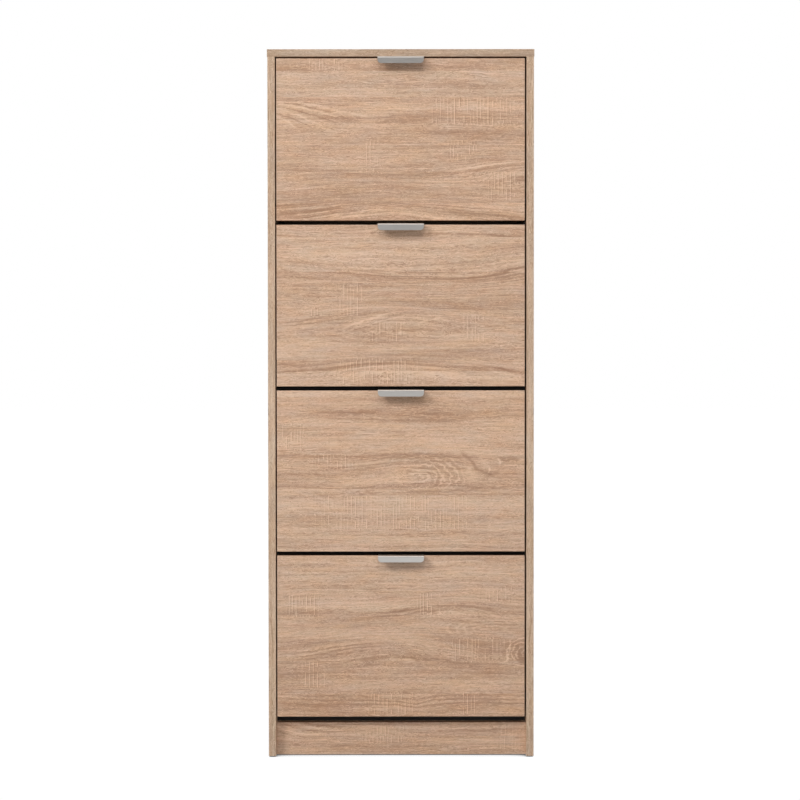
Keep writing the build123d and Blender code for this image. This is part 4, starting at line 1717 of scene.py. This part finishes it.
@dataclass
class Flap:
    """One drop-front flap: its door, handle, brackets and shoe boards.

    Attributes:
        frame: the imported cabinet.
        number: which flap, 1 for the top one.
        foot_trims: how much each flap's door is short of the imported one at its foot.
        side_trim: how much the doors are short of it at their right edge.
        rounding: how far the rounded edges of a door reach over its faces, at most.
        screw_inset: bracket screws from the bracket's outer face.
        screw_rows: bracket screws above the pivot, from the lowest to the highest.
        pivot_up: pivot axis above the door's bottom edge.
    """

    frame: Frame
    number: int
    foot_trims: tuple[float, ...] = (0.9, 0.6, 0.8, 0.0)
    side_trim: float = 0.7
    rounding: float = 3.0
    screw_inset: float = 12.0
    screw_rows: tuple[float, ...] = (24.0, 98.0, 172.0, 246.0)
    pivot_up: float = 44.0

    @property
    def body(self) -> str:
        """The CAD body that the flap's pieces ride on."""
        return f"flap_{self.number}"

    def node(self, part: str) -> str:
        """The CAD node's name of one of the flap's parts."""
        return f"flap_{self.number}_{part}"

    def build(self) -> None:
        """Finishes the door and builds what it carries."""
        self.door()
        handle = Handle()
        handle.build(self.node("handle"), self.body, *self.frame.box(self.node("handle")))
        self.brackets()
        self.screws(handle)

    def door(self) -> None:
        """Trims the door's foot and right edge, and lays the flap's own oak figure on it."""
        node = self.node("door")
        low, high = self.frame.box(node)
        work = self.frame.copy(node, "trimmed")
        foot = [vert for vert in work.mesh.verts if vert.co.z < low.z + self.rounding]
        right = [vert for vert in work.mesh.verts if vert.co.x > high.x - self.rounding]
        bmesh.ops.translate(work.mesh, vec=(0.0, 0.0, self.foot_trims[self.number - 1]), verts=foot)
        bmesh.ops.translate(work.mesh, vec=(-self.side_trim, 0.0, 0.0), verts=right)
        lay = self.frame.lay(node, RIGHT, BACK_AND_DOWN, band=DOWN)
        figure = DOOR_FIGURES[self.number - 1]
        work.place(self.body, OakFoil(f"oak_{node}", Slot.OAK_FOIL, figure, lay), node)

    def brackets(self) -> None:
        """Eases the moulded brackets and the shoe boards between them."""
        for part in ("bracket_left", "bracket_right"):
            self.frame.soften(self.node(part), self.body, BLACK_PLASTIC, 0.4)
        for part in ("shoe_floor", "shoe_back"):
            self.frame.soften(self.node(part), self.body, HARDBOARD, 0.3)

    def screws(self, handle: Handle) -> None:
        """Drives the screws of the handle and of the two brackets, whose heads look back.

        Args:
            handle: the flap's handle.
        """
        back = -math.pi / 2
        low, high = self.frame.box(self.node("door"))
        _, leg = self.frame.box(self.node("handle"))
        stands = [
            stand((side * handle.spacing / 2, leg.y, high.z - handle.drop), "X", back, 0.5 + 0.9 * side)
            for side in (-1, 1)
        ]
        SCREW.drive(self.node("handle_screws"), self.body, stands)
        bracket, _ = self.frame.box(self.node("bracket_left"))
        _, heads = self.frame.box(self.node("bracket_screws"))
        column = -bracket.x - self.screw_inset
        stands = [
            stand((side * column, heads.y, low.z + self.pivot_up + row), "X", back, 0.7 * count + side)
            for side in (-1, 1)
            for count, row in enumerate(self.screw_rows)
        ]
        SCREW.drive(self.node("bracket_screws"), self.body, stands)


# ---------------------------------------------------------------- studio


@dataclass(frozen=True)
class Lamp:
    """A round soft lamp that isn't mirrored in the metal.

    Attributes:
        name: the lamp's name.
        direction: from the cabinet's middle towards the lamp.
        distance: how far it hangs, in metres.
        size: how wide it is, in metres.
        power: its power in watts.
        colour: its light's colour.
    """

    name: str
    direction: Triple
    distance: float
    size: float
    power: float
    colour: Triple = (0.995, 0.99, 0.98)

    def hang(self, middle: Triple) -> None:
        """Hangs the lamp.

        Args:
            middle: the cabinet's middle in metres, which the lamp looks at.
        """
        data = bpy.data.lights.new(self.name, "AREA")
        data.shape = "DISK"
        data.size = self.size
        data.energy = self.power
        data.color = self.colour
        light = bpy.data.objects.new(self.name, data)
        light.visible_glossy = False
        bpy.context.scene.collection.objects.link(light)
        away = Vector(self.direction).normalized()
        light.location = Vector(middle) + away * self.distance
        light.rotation_mode = "QUATERNION"
        light.rotation_quaternion = (-away).to_track_quat("-Z", "Y")


@dataclass
class Studio:
    """Pale floor, soft light and the camera, with their sizes in metres.

    Attributes:
        eye: the camera's place.
        lens: its focal length on the sensor, in millimetres.
        sensor: the sensor's width, in millimetres.
        tilt: how far it looks down, in degrees.
        roll: how far it leans, in degrees.
        floor: half of the floor's side.
        floor_tone: how much light the floor throws back on the cabinet.
        contact: how far from the cabinet the painted shade on the floor reaches.
        middle: the cabinet's middle, which the lamps look at.
        lamps: the lamps.
        light: the colour of the light from all round.
        horizon: how bright it is at eye level.
        zenith: how bright it is overhead.
        gloss_zenith: how bright the white above the camera looks in the metal, a painted reflection that
            lights nothing.
    """

    eye: Triple = (-0.002, -3.979, 0.8536)
    lens: float = 80.7
    sensor: float = 36.0
    tilt: float = 1.09
    roll: float = -0.05
    floor: float = 30.0
    floor_tone: float = 0.4
    contact: float = 0.15
    middle: Triple = (0.0, 0.0, 0.8)
    lamps: tuple[Lamp, ...] = (
        Lamp("key_light", (-0.620, -0.520, 0.588), 10.0, 3.6, 578.0),
        Lamp("top_light", (-0.03, -0.668, 0.743), 9.0, 3.3, 216.0),
    )
    light: Triple = (1.03, 0.985, 0.95)
    horizon: float = 0.252
    zenith: float = 0.62
    gloss_zenith: float = 1.5

    def build(self) -> None:
        """Sets up everything that isn't part of the cabinet."""
        self.surroundings()
        self.ground()
        for lamp in self.lamps:
            lamp.hang(self.middle)
        self.camera()
        bpy.context.scene.view_settings.view_transform = "Standard"

    def surroundings(self) -> None:
        """Plain white behind the cabinet, soft even light from all round, and a painted reflection: a
        brighter band overhead in front that only glossy rays see.
        """
        world = bpy.data.worlds.new("studio")
        world.use_nodes = True
        world.node_tree.nodes.clear()
        graph = Graph(world.node_tree)
        _, back, up = graph.split(graph.add("ShaderNodeTexCoord").outputs["Generated"])
        rays = graph.add("ShaderNodeLightPath").outputs
        soft = graph.step(up, -0.4, 1.0, self.horizon, self.zenith)
        # Painted reflection: only glossy rays see this brighter band above and in front of the cabinet, and
        # it lights nothing.
        before = graph.step(back, -0.25, 0.35, 1.0, 0.2)
        above = graph.times(graph.step(up, 0.12, 0.45), before)
        bright = graph.blend(above, self.horizon, self.gloss_zenith)
        strength = graph.blend(rays["Is Glossy Ray"], soft, bright)
        light = graph.add("ShaderNodeBackground", {"Color": self.light, "Strength": strength})
        seen = graph.add("ShaderNodeBackground", {"Color": (1.0, 1.0, 1.0)})
        graph.choose(rays["Is Camera Ray"], light.outputs[0], seen.outputs[0], "ShaderNodeOutputWorld")
        bpy.context.scene.world = world

    def ground(self) -> None:
        work = Workpiece("studio_floor")
        bmesh.ops.create_grid(work.mesh, x_segments=8, y_segments=8, size=self.floor)
        made = work.end()
        made.materials.append(self.paint())
        floor = bpy.data.objects.new("studio_floor", made)
        bpy.context.scene.collection.objects.link(floor)

    def paint(self) -> bpy.types.Material:
        """Mixes a floor paint that glows white to the camera but for painted shade where the cabinet stands
        on it, and that glows to glossy rays as a painted reflection, brighter near the cabinet.

        Returns:
            The floor's material.
        """
        paint = bpy.data.materials.new("pale_floor")
        paint.use_nodes = True
        paint.node_tree.nodes.clear()
        graph = Graph(paint.node_tree)
        matte = graph.add("ShaderNodeBsdfDiffuse", {"Color": (self.floor_tone,) * 3})
        contact = graph.add("ShaderNodeAmbientOcclusion", {"Distance": self.contact})
        rays = graph.add("ShaderNodeLightPath").outputs
        # Painted contact shade: the camera sees the floor's glow darkened by ambient occlusion near the
        # cabinet.
        seen = graph.step(contact.outputs["AO"], 0.1, 0.55, 0.12, 1.02)
        place = graph.add("ShaderNodeNewGeometry").outputs["Position"]
        away = graph.math("SQRT", graph.dot(place, place))
        # Painted reflection: glossy rays see the floor glow brighter near the cabinet, fading with distance.
        mirrored = graph.step(away, 0.5, 5.0, 1.04, 0.44)
        strength = graph.blend(rays["Is Glossy Ray"], seen, mirrored)
        white = graph.add("ShaderNodeEmission", {"Strength": strength})
        end = "ShaderNodeOutputMaterial"
        graph.choose(rays["Is Diffuse Ray"], white.outputs[0], matte.outputs[0], end)
        return paint

    def camera(self) -> None:
        """Camera straight in front of the cabinet, looking down a little."""
        data = bpy.data.cameras.new("camera")
        data.lens = self.lens
        data.sensor_width = self.sensor
        camera = bpy.data.objects.new("camera", data)
        bpy.context.scene.collection.objects.link(camera)
        camera.location = self.eye
        tilt = math.radians(self.tilt)
        ahead = Vector((0.0, math.cos(tilt), -math.sin(tilt)))
        lean = Quaternion((0.0, 0.0, 1.0), math.radians(self.roll))
        camera.rotation_mode = "QUATERNION"
        camera.rotation_quaternion = ahead.to_track_quat("-Z", "Y") @ lean
        bpy.context.scene.camera = camera


def main() -> None:
    """Loads the frame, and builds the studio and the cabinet."""
    logging.basicConfig(level=logging.INFO, format="%(name)s: %(message)s")
    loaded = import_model()
    frame = Frame(loaded["nodes"])
    Studio().build()
    Carcase(frame).build()
    for number in range(1, len(DOOR_FIGURES) + 1):
        Flap(frame, number).build()


if __name__ == "__main__":
    main()
